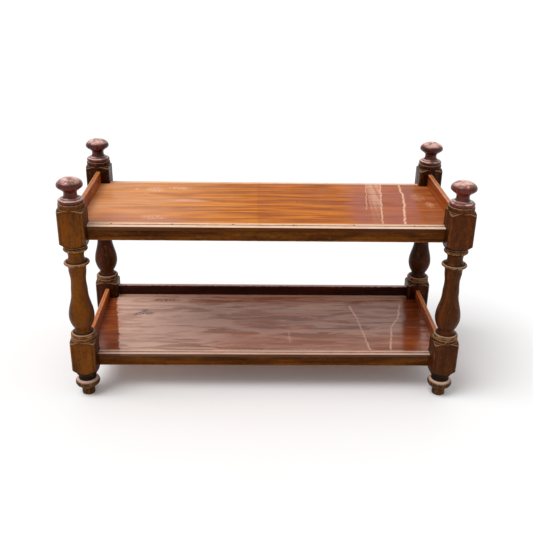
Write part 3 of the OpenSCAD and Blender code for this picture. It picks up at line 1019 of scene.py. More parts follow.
# Finishes


@dataclass(frozen=True)
class WoodCommon:
    """What every wood of the table has in common.

    A name in share gives a strength, and one in limits where something starts and is full.

    Attributes:
        bands: Bend of the growth bands; their share also gives their mean value.
        fine, broad, clouds: Fine lines, broad streaks and dark clouds along the grain.
        stops: Values of the figure at which the dark, middle and light colours stand.
        pores: Short dark pores of the open grain.
        fading, fade_mix: Faded patches, and the share of the wood's own colour left in them.
        blotches: Small blotches of crazed varnish.
        dark_blotch, light_blotch: Values between which a blotch turns dark or light.
        smears, gloss_spread: Smears in the polish, and their least and greatest roughness.
        rubbing, wear_depth, dirt_and_shade_depth: Unevenness of wear, dirt and painted shade, and how much it
        counts.
        dust_and_highlight_patches: Patches of dust and of a painted highlight on the faces that look up.
        dulling: Roughness that full dirt_and_shade and full wear add.
        relief: Shares of the pores, the smears and the rubbing in the relief.
        relief_strength: How strongly the relief shows.
        coat_roughness: Roughness of the clear polish.
    """

    bands: Pattern = Pattern(9.0, along=0.16)
    band_share: Pair = (0.10, 0.02)
    fine: Pattern = Pattern(170.0, 5.0, 0.62, along=0.02, shift=0.31)
    fine_share: float = 0.85
    broad: Pattern = Pattern(34.0, 3.0, 0.55, along=0.05, shift=0.77)
    clouds: Pattern = Pattern(7.0, 2.0, along=0.35, shift=1.9, limits=(0.4, 0.72))
    stops: tuple[float, float, float] = (0.16, 0.46, 0.8)
    pores: Pattern = Pattern(900.0, 2.0, along=0.045, shift=2.6, limits=(0.58, 0.7))
    pore_share: float = 0.45
    fading: Pattern = Pattern(26.0, along=0.4, shift=3.1, limits=(0.2, 0.62), levels=(0.35, 1.0))
    fade_mix: float = 0.55
    blotches: Pattern = Pattern(120.0, 5.0, 0.68, 0.6, along=0.42, shift=7.3)
    dark_blotch: Pair = (0.52, 0.3)
    light_blotch: Pair = (0.54, 0.74)
    light_blotch_share: float = 0.8
    smears: Pattern = Pattern(40.0, 4.0, 0.6, along=0.5, shift=4.4, limits=(0.3, 0.75))
    gloss_spread: Pair = (0.8, 1.35)
    rubbing: Pattern = Pattern(95.0, 4.0, 0.65, limits=(0.3, 0.6), levels=(0.8, 1.0))
    dust_and_highlight_patches: Pattern = Pattern(48.0, 2.0, 0.5, 0.4, limits=(0.4, 0.58))
    wear_depth: float = 1.5
    wear_limits: Pair = (0.45, 1.0)
    dirt_and_shade_depth: float = 0.7
    dirt_and_shade_limits: Pair = (0.15, 0.75)
    dirt_and_shade_share: float = 0.9
    dulling: Pair = (0.25, 0.12)
    relief: tuple[float, float, float] = (-0.6, 0.5, 0.35)
    relief_strength: float = 0.5
    coat_roughness: float = 0.06


COMMON = WoodCommon()


@dataclass(frozen=True)
class WoodFinish:
    """Polished or varnished wood.

    Attributes:
        name: Name of the material.
        slot: Name of a slot; not used.
        grain: Direction in which the grain runs.
        dark, middle, light: Colours of the grain.
        worn: Colour where the polish is rubbed through.
        grime_and_shade: Colour of the dirt in the grooves and of the painted shade on rims, necks and board
            edges.
        figure: Scale of the growth figure across the grain, in bands to the metre.
        streak, cloud: Strength of the broad streaks and of the dark clouds.
        roughness: Roughness of the polish where it is whole.
        specular: Strength of the plain reflection.
        coat: Strength of the clear polish over it.
        fade: Colour that light has faded the front faces to, or None.
        fade_and_left_light_share: How faded they are at the table's left end and at its right end; the fall
            from left to right is painted light from the left.
        crown, dust_and_highlight_share: Colour of dust and of a painted highlight on the faces that look up,
            and its strength.
        dust_and_highlight_band: How far up a face must look for it to start and to be full, from 0 to 1.
        dust_and_highlight_patch: How patchy it is, from 0 to 1.
        wear_share: How much of the worn colour shows on the arrises.
        mottle, glow: How blotchy the old varnish is, and the colour of its light blotches.
        bump: Depth of the open grain, in millimetres.
    """

    name: str
    slot: str
    grain: Grain
    dark: Rgb
    middle: Rgb
    light: Rgb
    worn: Rgb
    grime_and_shade: Rgb
    figure: float = 60.0
    streak: float = 0.9
    cloud: float = 0.45
    roughness: float = 0.35
    specular: float = 0.4
    coat: float = 0.0
    fade: Rgb | None = None
    fade_and_left_light_share: Pair = (0.9, 0.4)
    # Colour of dust and of a painted highlight on the faces that look up.
    crown: Rgb = tone(190, 150, 130)
    dust_and_highlight_share: float = 0.0
    dust_and_highlight_band: Pair = (0.25, 0.85)
    dust_and_highlight_patch: float = 0.0
    wear_share: float = 0.7
    mottle: float = 0.0
    glow: Rgb = tone(168, 104, 34)
    bump: float = 0.12

    def figure_value(self, ink: NodeSketch) -> Socket:
        """Draws the growth figure, from long wavering bands.

        Args:
            ink: Material that is drawn.

        Returns:
            Output of the figure, 0 to 1.
        """
        bands = ink.maths("SINE", ink.times(ink.noise(COMMON.bands, self.grain), self.figure))
        value = ink.plus_share(COMMON.band_share[1], bands, COMMON.band_share[0])
        value = ink.plus_share(value, ink.noise(COMMON.fine, self.grain), COMMON.fine_share)
        return ink.plus_share(value, ink.minus(ink.noise(COMMON.broad, self.grain), 0.5), self.streak)

    def colour(self, ink: NodeSketch) -> Socket:
        """Draws the colour of the clean wood.

        Args:
            ink: Material that is drawn.

        Returns:
            Output of the colour.
        """
        tones = (self.dark, self.middle, self.light)
        wood = ink.ramp(self.figure_value(ink), tuple(zip(COMMON.stops, tones)))
        return ink.mixed(ink.patches(COMMON.clouds, self.grain, (0.0, self.cloud)), wood, self.dark)

    def faded_and_lit(self, ink: NodeSketch, colour: Socket) -> Socket:
        """Fades the front faces of the front pieces, which stand in the light, and more toward the left end
        as painted light from the left.

        Args:
            ink: Material that is drawn.
            colour: Colour before fading.

        Returns:
            Output of the faded colour.
        """
        if self.fade is None:
            return colour
        facing_front = ink.between(ink.back, (-0.95, 0.1), FALLING)
        at_front = ink.step_y((-100, 0), FALLING)
        # More toward the left end: painted light falling from the left.
        end = ink.step_x((-500, 500), self.fade_and_left_light_share)
        share = ink.times(facing_front, end, ink.patches(COMMON.fading, self.grain), at_front)
        return ink.mixed(share, colour, ink.mixed(COMMON.fade_mix, self.fade, colour))

    def mottled(self, ink: NodeSketch, colour: Socket) -> Socket:
        """Lightens and darkens the wood in small blotches, as crazed old varnish does.

        Args:
            ink: Material that is drawn.
            colour: Colour before the blotches.

        Returns:
            Output of the blotchy colour.
        """
        blotch = ink.noise(COMMON.blotches, self.grain)
        colour = ink.mixed(ink.between(blotch, COMMON.dark_blotch, (0.0, self.mottle)), colour, self.dark)
        light = (0.0, self.mottle * COMMON.light_blotch_share)
        return ink.mixed(ink.between(blotch, COMMON.light_blotch, light), colour, self.glow)

    def dusted_and_highlighted(self, ink: NodeSketch, colour: Socket, rub: Socket) -> Socket:
        """Pales the faces that look up with dust and a painted highlight, the sky's sheen on them.

        Args:
            ink: Material that is drawn.
            colour: Colour before that.
            rub: Noise of the rubbing.

        Returns:
            Output of the colour.
        """
        share = ink.times(
            ink.between(ink.up, self.dust_and_highlight_band),
            ink.between(rub, COMMON.rubbing.limits, COMMON.rubbing.levels),
            ink.patches(COMMON.dust_and_highlight_patches, levels=(1 - self.dust_and_highlight_patch, 1.0)),
            self.dust_and_highlight_share,
        )
        return ink.mixed(share, colour, self.crown)

    def marks(self, ink: NodeSketch, colour: Socket, gloss: Socket) -> tuple[Socket, Socket]:
        """Adds the marks that are this piece's own; a plain finish has none."""
        return colour, gloss

    def material(self) -> bpy.types.Material:
        """Makes the material.

        Returns:
            The new material.
        """
        ink = NodeSketch(self.name)
        pores = ink.patches(COMMON.pores, self.grain)
        colour = self.faded_and_lit(ink, self.colour(ink))
        colour = ink.mixed(ink.times(pores, COMMON.pore_share), colour, self.dark)
        smear = ink.noise(COMMON.smears, self.grain)
        spread = tuple(self.roughness * share for share in COMMON.gloss_spread)
        gloss = ink.between(smear, COMMON.smears.limits, spread)
        colour, gloss = self.marks(ink, colour, gloss)
        if self.mottle > 0:
            colour = self.mottled(ink, colour)

        rub = ink.noise(COMMON.rubbing)
        # Dust and a painted highlight pale the faces that look up.
        if self.dust_and_highlight_share > 0:
            colour = self.dusted_and_highlighted(ink, colour, rub)
        rubbed = ink.uneven(ink.attribute("wear"), rub, COMMON.wear_depth, COMMON.wear_limits)
        rubbed = ink.times(rubbed, self.wear_share)
        colour = ink.mixed(rubbed, colour, self.worn)
        # Dirt in the grooves, and painted shade on the rims, the feet's necks and the boards' upright edges,
        # darken the colour.
        darkening = ink.uneven(ink.attribute("dirt_and_shade"), rub, COMMON.dirt_and_shade_depth, COMMON.dirt_and_shade_limits)
        colour = ink.mixed(ink.times(darkening, COMMON.dirt_and_shade_share), colour, self.grime_and_shade)
        gloss = ink.plus_share(gloss, darkening, COMMON.dulling[0])
        gloss = ink.plus_share(gloss, rubbed, COMMON.dulling[1])

        relief = 0.0
        for part, share in zip((pores, smear, rub), COMMON.relief):
            relief = ink.plus_share(relief, part, share)
        ink.emboss(relief, self.bump, COMMON.relief_strength)
        ink.dress({
            "Base Color": colour, "Roughness": gloss, "Specular IOR Level": self.specular,
            "Coat Weight": self.coat, "Coat Roughness": COMMON.coat_roughness,
        })
        return ink.material


@dataclass(frozen=True)
class BoardFinish(WoodFinish):
    """Polished wood of a board, with the marks of its use, painted reflections and a painted highlight on its
    rounded edges.

    Attributes:
        scuffs: Clusters of fine pale scratches.
        scratches: Noise whose middle value draws the scratches.
        scratch_width: How far from that value a scratch ends.
        reflected_lines, breaks: Pale lines of painted reflection, and the breaks in them.
        scuff_and_reflection_colour: Colour of the scratches and of the painted reflections.
        edge_highlight, edge_highlight_share, edge_highlight_patches: Colour, strength and changes of the
        painted highlight on the rounded edges.
        edge_highlight_band: Distance from the middle at which an edge starts and ends, in millimetres.
        edge_highlight_up: How far up a face must look for it to start and to be full.
    """

    scuffs: tuple[Spot, ...] = ()
    scratches: Pattern = Pattern(150.0, 2.0, 0.6, 1.2, along=0.5, shift=0.9)
    scratch_width: float = 0.07
    reflected_lines: tuple[Trace, ...] = ()
    breaks: Pattern = Pattern(75.0, 3.0, 0.6, limits=(0.3, 0.55), levels=(0.3, 1.0))
    scuff_and_reflection_colour: Rgb = tone(236, 190, 160)
    edge_highlight: Rgb = tone(226, 189, 160)
    edge_highlight_band: Pair = (189.0, 205.0)
    edge_highlight_share: float = 0.8
    edge_highlight_patches: Pattern = Pattern(
        90.0, 4.0, 0.65, along=0.3, shift=5.1, limits=(0.2, 0.6), levels=(0.6, 1.0)
    )
    edge_highlight_up: Pair = (0.3, 0.8)

    def marks(self, ink: NodeSketch, colour: Socket, gloss: Socket) -> tuple[Socket, Socket]:
        """Adds scuffs, the pale lines of painted reflection and the painted highlight on the rounded edges.

        Args:
            ink: Material that is drawn.
            colour: Colour before the marks.
            gloss: Roughness before the marks.

        Returns:
            The colour and the roughness with the marks.
        """
        from_scratch = ink.maths("ABSOLUTE", ink.minus(ink.noise(self.scratches, Grain.ALONG_Y), 0.5))
        thin = ink.between(from_scratch, (0.0, self.scratch_width), FALLING)
        for scuff in self.scuffs:
            share = ink.times(ink.spot(scuff), thin, scuff.strength)
            colour = ink.mixed(share, colour, self.scuff_and_reflection_colour)
        # Pale lines of painted reflection along the board.
        breaks = ink.patches(self.breaks)
        for trace in self.reflected_lines:
            share = ink.times(ink.trace(trace), breaks, trace.strength)
            colour = ink.mixed(share, colour, self.scuff_and_reflection_colour)
        # Painted highlight: the sky's sheen on the upper part of the rounded edges.
        edge_highlight_mask = ink.times(
            ink.between(ink.maths("ABSOLUTE", ink.y), metres(self.edge_highlight_band)),
            ink.patches(self.edge_highlight_patches, Grain.ALONG_X),
            self.edge_highlight_share,
            ink.between(ink.up, self.edge_highlight_up),
        )
        return ink.mixed(edge_highlight_mask, colour, self.edge_highlight), gloss


@dataclass(frozen=True)
class UpperBoardFinish(BoardFinish):
    """The upper board: two leaves of wood, with a painted reflection near its right end.

    Places are in millimetres. A name in reach gives where something starts and is full, or
    gone, and one in patches how it changes from place to place.

    Attributes:
        vein, veins: Colour and pattern of the fine dark veins.
        sun: Colour that light has bleached the left end to.
        right_tone, seam: Colour that the right leaf tends to, and where the leaves meet.
        end_tone: Colour of the browner right end.
        dull, dull_spots: Colour of the dull places in the polish, and the places.
        pale_streak, flow: A pale streak, and the lines along the grain in it.
        reflection_haze, reflection_haze_left, reflection_haze_right: Colour of the painted reflection, a
        haze, and its borders.
        reflection_haze_dulling: Roughness that it adds.
        reflection_band_left, reflection_band_right: Borders of the paler band of painted reflection in it.
        slats, net: Lines along the board and across it in the pale band.
        reflection_band_levels: How strongly that band shows in front of its reach and behind.
    """

    vein: Rgb = tone(118, 48, 8)
    vein_share: float = 0.62
    veins: Pattern = Pattern(130.0, 2.0, 0.5, 0.2, along=0.025, shift=5.9, limits=(0.5, 0.64))
    sun: Rgb = tone(236, 176, 134)
    sun_reach: Pair = (-500.0, -20.0)
    sun_share: float = 0.58
    sun_patches: Pattern = Pattern(16.0, along=0.3, shift=2.2, limits=(0.25, 0.65), levels=(0.5, 1.0))
    right_tone: Rgb = tone(188, 98, 16)
    right_share: float = 0.22
    seam: Pair = (-31.0, -25.0)
    end_tone: Rgb = tone(136, 80, 68)
    end_share: float = 0.42
    end_reach: Pair = (430.0, 500.0)
    dull: Rgb = tone(186, 118, 98)
    dull_spots: tuple[Spot, ...] = (
        Spot((-470, -150), (120, 70), 0.55, 0.8), Spot((-330, -165), (110, 45), 0.55, 0.8),
    )
    pale_streak: Spot = Spot((-255, 9), (95, 16), 0.9, 0.8)
    flow: Pattern = Pattern(130.0, 2.0, along=0.1, shift=1.4, limits=(0.35, 0.6), levels=(0.2, 1.0))
    reflection_haze: Rgb = tone(160, 98, 92)
    reflection_haze_left: Border = Border((245, -205), (265, 205), 8, (-20, 50))
    reflection_haze_right: Border = Border((470, -205), (505, 205), 8, (-12, 6))
    reflection_haze_patches: Pattern = Pattern(30.0, along=0.4, shift=6.6, limits=(0.25, 0.6), levels=(0.45, 0.85))
    reflection_haze_share: float = 0.75
    reflection_haze_dulling: float = 0.1
    reflection_band_left: Border = Border((316, -205), (349, 205), 6, (-2, 4))
    reflection_band_right: Border = Border((346, -205), (399, 205), 6, (-4, 2))
    slats: Pattern = Pattern(150.0, 2.0, along=0.05, shift=8.2, limits=(0.35, 0.6), levels=(0.15, 0.75))
    net: Pattern = Pattern(130.0, 2.0, along=0.05, shift=4.9, limits=(0.35, 0.6), levels=(0.35, 1.0))
    reflection_band_reach: Pair = (-160.0, 80.0)
    reflection_band_levels: Pair = (0.12, 0.85)

    def marks(self, ink: NodeSketch, colour: Socket, gloss: Socket) -> tuple[Socket, Socket]:
        """Adds the two tones and the painted reflection under the other marks.

        Args:
            ink: Material that is drawn.
            colour: Colour before the marks.
            gloss: Roughness before the marks.

        Returns:
            The colour and the roughness with the marks.
        """
        colour = self._leaves(ink, colour)
        for spot in self.dull_spots:
            colour = ink.mixed(ink.times(ink.spot(spot), spot.strength), colour, self.dull)
        flow = ink.patches(self.flow, Grain.ALONG_X)
        streak = ink.times(ink.spot(self.pale_streak), flow, self.pale_streak.strength)
        colour = ink.mixed(streak, colour, self.scuff_and_reflection_colour)
        # Painted reflection: a pinkish haze over the right part of the board.
        reflection_haze = ink.times(
            ink.past(self.reflection_haze_left),
            ink.past(self.reflection_haze_right, FALLING),
            ink.patches(self.reflection_haze_patches, Grain.ALONG_X),
        )
        colour = ink.mixed(ink.times(reflection_haze, self.reflection_haze_share), colour, self.reflection_haze)
        # A paler band of painted reflection in the haze, crossed by lines.
        reflection_band = ink.times(
            ink.past(self.reflection_band_left),
            ink.past(self.reflection_band_right, FALLING),
            ink.patches(self.slats, Grain.ALONG_X),
            ink.patches(self.net, Grain.ALONG_Y),
            ink.step_y(self.reflection_band_reach, self.reflection_band_levels),
        )
        colour = ink.mixed(reflection_band, colour, self.scuff_and_reflection_colour)
        return super().marks(ink, colour, ink.plus_share(gloss, reflection_haze, self.reflection_haze_dulling))

    def _leaves(self, ink: NodeSketch, colour: Socket) -> Socket:
        """Draws the veins, the two leaves and the changed tones of both ends.

        Args:
            ink: Material that is drawn.
            colour: Colour before that.

        Returns:
            Output of the colour.
        """
        veins = ink.patches(self.veins, Grain.ALONG_X, (0.0, self.vein_share))
        colour = ink.mixed(veins, colour, self.vein)
        sunned = ink.step_x(self.sun_reach, (self.sun_share, 0.0))
        colour = ink.mixed(ink.times(ink.patches(self.sun_patches, Grain.ALONG_X), sunned), colour, self.sun)
        deeper = ink.mixed(1.0, colour, self.right_tone, "MULTIPLY")
        colour = ink.mixed(ink.step_x(self.seam, (0.0, self.right_share)), colour, deeper)
        return ink.mixed(ink.step_x(self.end_reach, (0.0, self.end_share)), colour, self.end_tone)


@dataclass(frozen=True)
class ShelfFinish(BoardFinish):
    """The lower board: a bright polish under a dusty film that is also a painted reflection of
    the pale sky, with a dull stain and a reddish rub.

    Places are in millimetres. A name in reach gives where something starts and is full, or
    gone.

    Attributes:
        film_and_reflection, film_and_reflection_flow, film_dulling: Colour, streaks and added
            roughness of the film, which is dust and a painted reflection of the pale sky.
        film_and_reflection_share: How thick it is at the left end and at the right end.
        streak_levels: How thick it is between the streaks, at the left and at the right.
        worn_from, worn_reach: Where the worn front strip starts along X and goes along Y.
        back_levels: How much film is added in front of the back reach and behind.
        post_reflection_left: Border up to which the left end is bare, a painted dark reflection of a back
            post.
        post_reflection_from, post_reflection_to: Borders of the bare patch at the right end, a painted dark
            reflection of a back post.
        stain, stain_spots: Colour and blots of the stain.
        rub, rub_spot: Colour and place of the rub.
        speckle, mark_dulling: Pattern of stain and rub, and the roughness that they add.
        clouding: Roughness of the polish from place to place, over its own.
    """

    film_and_reflection: Rgb = tone(216, 178, 160)
    film_and_reflection_share: Pair = (0.92, 0.44)
    film_and_reflection_reach: Pair = (-420.0, -20.0)
    film_and_reflection_flow: Pattern = Pattern(42.0, 5.0, 0.62, 0.8, along=0.14, shift=3.7, limits=(0.41, 0.57))
    streak_reach: Pair = (-420.0, -100.0)
    streak_levels: Pair = (0.5, 0.06)
    worn_from: Pair = (-250.0, -50.0)
    worn_reach: Pair = (-130.0, -60.0)
    worn_share: float = 0.5
    back_reach: Pair = (60.0, 170.0)
    back_levels: Pair = (0.06, 0.18)
    post_reflection_left: Border = Border((-465, -190), (-526, 140), 15, (-3, 3))
    post_reflection_from: Border = Border((443, -190), (505, 140), 15, (-12, 12))
    post_reflection_to: Border = Border((504, -190), (565, 140), 15, (-4, 8))
    post_reflection_share: float = 0.95
    film_dulling: float = 0.12
    stain: Rgb = tone(74, 80, 76)
    stain_spots: tuple[Spot, ...] = (
        Spot((-418, 76), (19, 16), soft=0.5), Spot((-432, 58), (24, 12), soft=0.5),
        Spot((-401, 58), (24, 13), soft=0.5), Spot((-447, 48), (11, 9), soft=0.5),
    )
    stain_share: float = 0.85
    rub: Rgb = tone(96, 26, 8)
    rub_spot: Spot = Spot((-352, 160), (74, 17), 0.8, 0.6)
    speckle: Pattern = Pattern(170.0, 3.0, 0.6, limits=(0.4, 0.55))
    mark_dulling: float = 0.3
    clouding: Pattern = Pattern(
        24.0, 4.0, 0.6, along=0.12, shift=9.3, limits=(0.35, 0.7), levels=(0.0, 0.16)
    )

    def marks(self, ink: NodeSketch, colour: Socket, gloss: Socket) -> tuple[Socket, Socket]:
        """Adds the film with its painted reflection, the stain and the rub under the other marks.

        Args:
            ink: Material that is drawn.
            colour: Colour before the marks.
            gloss: Roughness before the marks.

        Returns:
            The colour and the roughness with the marks.
        """
        # Dust film and a painted reflection of the pale sky, left off where the back posts' dark reflections
        # fall.
        film_and_reflection = self._film_and_reflection(ink)
        colour = ink.mixed(film_and_reflection, colour, self.film_and_reflection)
        gloss = ink.plus_share(gloss, film_and_reflection, self.film_dulling)
        speckle = ink.patches(self.speckle)
        blot = 0.0
        for spot in self.stain_spots:
            blot = ink.maths("MAXIMUM", blot, ink.spot(spot))
        blot = ink.times(blot, speckle)
        rub = ink.times(ink.spot(self.rub_spot), speckle)
        colour = ink.mixed(ink.times(blot, self.stain_share), colour, self.stain)
        colour = ink.mixed(ink.times(rub, self.rub_spot.strength), colour, self.rub)
        for mark in (blot, rub):
            gloss = ink.plus_share(gloss, mark, self.mark_dulling)
        return super().marks(ink, colour, ink.plus(gloss, ink.patches(self.clouding, Grain.ALONG_X)))

    def _film_and_reflection(self, ink: NodeSketch) -> Socket:
        """Draws the dusty film and painted reflection, worn in places and bare where the back posts' dark
        reflections are painted.

        Args:
            ink: Material that is drawn.

        Returns:
            Output of its thickness, 0 to 1.
        """
        levels = (ink.step_x(self.streak_reach, self.streak_levels), 1.0)
        flow = ink.between(ink.noise(self.film_and_reflection_flow, Grain.ALONG_X), self.film_and_reflection_flow.limits, levels)
        worn = ink.times(ink.step_x(self.worn_from), ink.step_y(self.worn_reach, (self.worn_share, 0.0)))
        film_and_reflection = ink.times(ink.step_x(self.film_and_reflection_reach, self.film_and_reflection_share), flow, ink.minus(1.0, worn))
        film_and_reflection = ink.plus(film_and_reflection, ink.step_y(self.back_reach, self.back_levels))
        # Bare places at both ends: painted dark reflections of the back posts.
        patch = ink.times(ink.past(self.post_reflection_from), ink.past(self.post_reflection_to, FALLING))
        post_reflections = ink.maths("MAXIMUM", ink.past(self.post_reflection_left, FALLING), patch)
        return ink.times(film_and_reflection, ink.plus_share(1.0, post_reflections, -self.post_reflection_share))


@dataclass(frozen=True)
class MetalFinish:
    """Plain metal of nails and screws, dull with age.

    Attributes:
        name: Name of the material.
        bright, dull: Colours where it is bright and where it is tarnished.
        roughness, dulling: Roughness where it is bright, and what tarnish adds.
        metallic: How much of it is bare metal.
        tarnish: Pattern of the tarnish.
        bump: Depth of its relief, in millimetres.
    """

    name: str
    bright: Rgb
    dull: Rgb
    roughness: float = 0.35
    dulling: float = 0.35
    metallic: float = 0.85
    tarnish: Pattern = Pattern(600.0, 4.0, 0.6, limits=(0.4, 0.65))
    bump: float = 0.05

    def material(self) -> bpy.types.Material:
        """Makes the material.

        Returns:
            The new material.
        """
        ink = NodeSketch(self.name)
        tarnish = ink.patches(self.tarnish)
        ink.dress({
            "Base Color": ink.mixed(tarnish, self.bright, self.dull),
            "Roughness": ink.plus_share(self.roughness, tarnish, self.dulling),
            "Metallic": self.metallic,
        })
        ink.emboss(tarnish, self.bump, 1.0)
        return ink.material


@dataclass
class Finishes:
    """Every finish of the table, each made once.

    A wood starts with its name, slot and grain, and its dark, middle, light, worn and grime_and_shade.
    """

    # Each crown colour is dust and a painted highlight on the faces that look up.
    post: WoodFinish = WoodFinish(
        "post_varnish", "post_wood", Grain.ALONG_Z,
        tone(30, 11, 2), tone(62, 26, 6), tone(92, 42, 9),
        tone(190, 138, 84), tone(12, 6, 3),
        crown=tone(222, 176, 140), dust_and_highlight_share=0.6, dust_and_highlight_band=(0.62, 1.0),
        figure=30.0, roughness=0.36, specular=0.07, fade=tone(150, 84, 8), fade_and_left_light_share=(0.95, 0.2),
        mottle=0.5, glow=tone(134, 78, 24), bump=0.25,
    )
    foot: WoodFinish = WoodFinish(
        "foot_varnish", "post_wood", Grain.ALONG_Z,
        tone(22, 12, 5), tone(66, 38, 14), tone(104, 66, 30),
        tone(206, 168, 142), tone(12, 8, 4),
        crown=tone(236, 194, 172), dust_and_highlight_share=0.85, dust_and_highlight_band=(0.4, 0.95),
        figure=30.0, roughness=0.4, specular=0.07, fade=tone(112, 68, 22), fade_and_left_light_share=(0.9, 0.4),
        mottle=0.75, glow=tone(178, 132, 92), bump=0.3,
    )
    finial: WoodFinish = WoodFinish(
        "finial_polish", "finial_wood", Grain.ALONG_Z,
        tone(30, 6, 2), tone(78, 24, 9), tone(116, 44, 22),
        tone(206, 150, 136), tone(10, 3, 2),
        crown=tone(255, 204, 190), dust_and_highlight_share=0.82, dust_and_highlight_band=(0.5, 0.98), dust_and_highlight_patch=0.72,
        figure=30.0, roughness=0.16, specular=0.12, coat=0.25, wear_share=0.1,
        mottle=0.5, glow=tone(140, 60, 34),
    )
    upper_board: UpperBoardFinish = UpperBoardFinish(
        "upper_board_polish", "board_wood", Grain.ALONG_X,
        tone(136, 62, 4), tone(206, 116, 12), tone(232, 150, 34),
        tone(232, 198, 172), tone(50, 24, 12),
        figure=40.0, streak=0.42, cloud=0.22, roughness=0.34, specular=0.04, wear_share=0.6, bump=0.08,
        edge_highlight=tone(240, 206, 178), edge_highlight_band=(186.0, 197.0), edge_highlight_share=0.9,
        scuffs=(
            Spot((-428, 121), (12, 14), 1.0), Spot((-393, 80), (14, 12), 0.8),
            Spot((-366, 118), (44, 34), 1.0), Spot((-288, 132), (50, 20), 0.9),
            Spot((-341, -144), (52, 30), 0.9), Spot((526, -14), (18, 40), 0.7),
            Spot((500, 60), (30, 60), 0.5),
        ),
        reflected_lines=(
            Trace((413, -190), (452, 40), 8, 12, 1.0), Trace((452, 40), (461, 190), 8, 12, 1.0),
            Trace((316, -60), (349, 200), 6, 6, 0.6), Trace((346, -190), (399, 200), 7, 8, 0.85),
        ),
    )
    shelf: ShelfFinish = ShelfFinish(
        "shelf_polish", "shelf_wood", Grain.ALONG_X,
        tone(96, 34, 6), tone(140, 64, 16), tone(172, 90, 28),
        tone(214, 176, 160), tone(52, 24, 16),
        figure=40.0, streak=0.6, roughness=0.15, specular=0.2, coat=0.15, wear_share=0.4, bump=0.05,
        edge_highlight=tone(222, 184, 160), edge_highlight_band=(189.0, 196.0),
        scuffs=(
            Spot((82, -120), (14, 40), 0.35), Spot((-60, -190), (120, 10), 0.35),
            Spot((120, -190), (60, 8), 0.4), Spot((-120, -20), (30, 20), 0.3),
        ),
        reflected_lines=(
            Trace((324, 30), (308, 121), 5, 12, 0.95), Trace((340, -188), (324, 30), 8, 10, 0.7),
            Trace((434, -34), (469, 32), 7, 11, 0.8), Trace((407, -187), (434, -34), 7, 11, 0.8),
            Trace((469, 32), (493, 131), 7, 11, 0.8), Trace((84, -130), (80, -60), 3, 7, 0.5),
        ),
    )
    rail: WoodFinish = WoodFinish(
        "rail_varnish", "rail_wood", Grain.ALONG_X,
        tone(42, 18, 4), tone(92, 48, 11), tone(132, 78, 20),
        tone(150, 92, 44), tone(24, 12, 8),
        figure=50.0, streak=0.4, cloud=0.3, roughness=0.38, specular=0.03,
        mottle=0.5, glow=tone(146, 84, 16), bump=0.2,
    )
    back_rail: WoodFinish = WoodFinish(
        "back_rail_polish", "rail_wood", Grain.ALONG_X,
        tone(26, 7, 2), tone(50, 14, 4), tone(80, 30, 10),
        tone(216, 178, 166), tone(20, 8, 6), crown=tone(221, 190, 184), dust_and_highlight_share=0.8,
        figure=40.0, roughness=0.3, specular=0.14, wear_share=0.6,
    )
    gallery: WoodFinish = WoodFinish(
        "gallery_polish", "gallery_wood", Grain.ALONG_Y,
        tone(92, 34, 6), tone(160, 76, 20), tone(206, 112, 44),
        tone(226, 150, 96), tone(40, 18, 10), crown=tone(226, 146, 96), dust_and_highlight_share=0.42,
        figure=40.0, roughness=0.3, specular=0.1, wear_share=0.6, bump=0.1,
    )
    pine: WoodFinish = WoodFinish(
        "aged_pine", "secondary_pine", Grain.ALONG_Y,
        tone(132, 96, 56), tone(172, 134, 88), tone(198, 162, 114),
        tone(210, 180, 136), tone(70, 50, 32),
        figure=90.0, roughness=0.75, specular=0.25, bump=0.3,
    )
    long_pine: WoodFinish = replace(pine, name="aged_pine_long", grain=Grain.ALONG_X)
    filler: WoodFinish = WoodFinish(
        "dark_filler", "nail_iron", Grain.ALONG_X,
        tone(20, 10, 6), tone(38, 20, 12), tone(62, 36, 22),
        tone(90, 60, 40), tone(14, 8, 5),
        roughness=0.6, specular=0.1, bump=0.1,
    )
    iron: MetalFinish = MetalFinish("nail_iron", tone(96, 92, 90), tone(60, 42, 32), 0.5)
    steel: MetalFinish = MetalFinish("screw_steel", tone(168, 168, 164), tone(96, 84, 72))
    made: dict[str, bpy.types.Material] = field(default_factory=dict)

    def get(self, finish: WoodFinish | MetalFinish) -> bpy.types.Material:
        """Gives the material of a finish, which is made the first time.

        Args:
            finish: The finish.

        Returns:
            Its material.
        """
        if finish.name not in self.made:
            self.made[finish.name] = finish.material()
        return self.made[finish.name]


# The table's pieces


@dataclass
class Workshop:
    """Places each finished piece on the table's one body.

    Attributes:
        nodes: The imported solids, by name.
        finishes: The finishes.
        placed: Names of the pieces placed so far.
    """

    nodes: dict[str, bpy.types.Object]
    finishes: Finishes
    placed: list[str] = field(default_factory=list)

    def place(self, piece: bpy.types.Object, node: str | None, finish: WoodFinish) -> None:
        """Dresses a new piece and sets it on the table.

        Args:
            piece: The piece.
            node: The solid that it stands for, or None.
            finish: Its finish.
        """
        piece.data.materials.append(self.finishes.get(finish))
        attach(piece, BODY)
        if node is not None:
            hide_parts(node)
        self.placed.append(piece.name)
        log.info("%s: %d faces, %s", piece.name, len(piece.data.polygons), finish.name)

    def dress(self, node: str, finish: WoodFinish | MetalFinish) -> None:
        """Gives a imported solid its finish.

        Args:
            node: Name of the solid.
            finish: Its finish.
        """
        solid = self.nodes[node]
        for holder in solid.material_slots:
            holder.material = self.finishes.get(finish)
        self.placed.append(node)
        log.info("%s: packed solid, %s", node, finish.name)


def box_mm(node: str) -> tuple[Vector, Vector]:
    """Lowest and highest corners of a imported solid, in millimetres."""
    low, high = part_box(node)
    return low / MM, high / MM


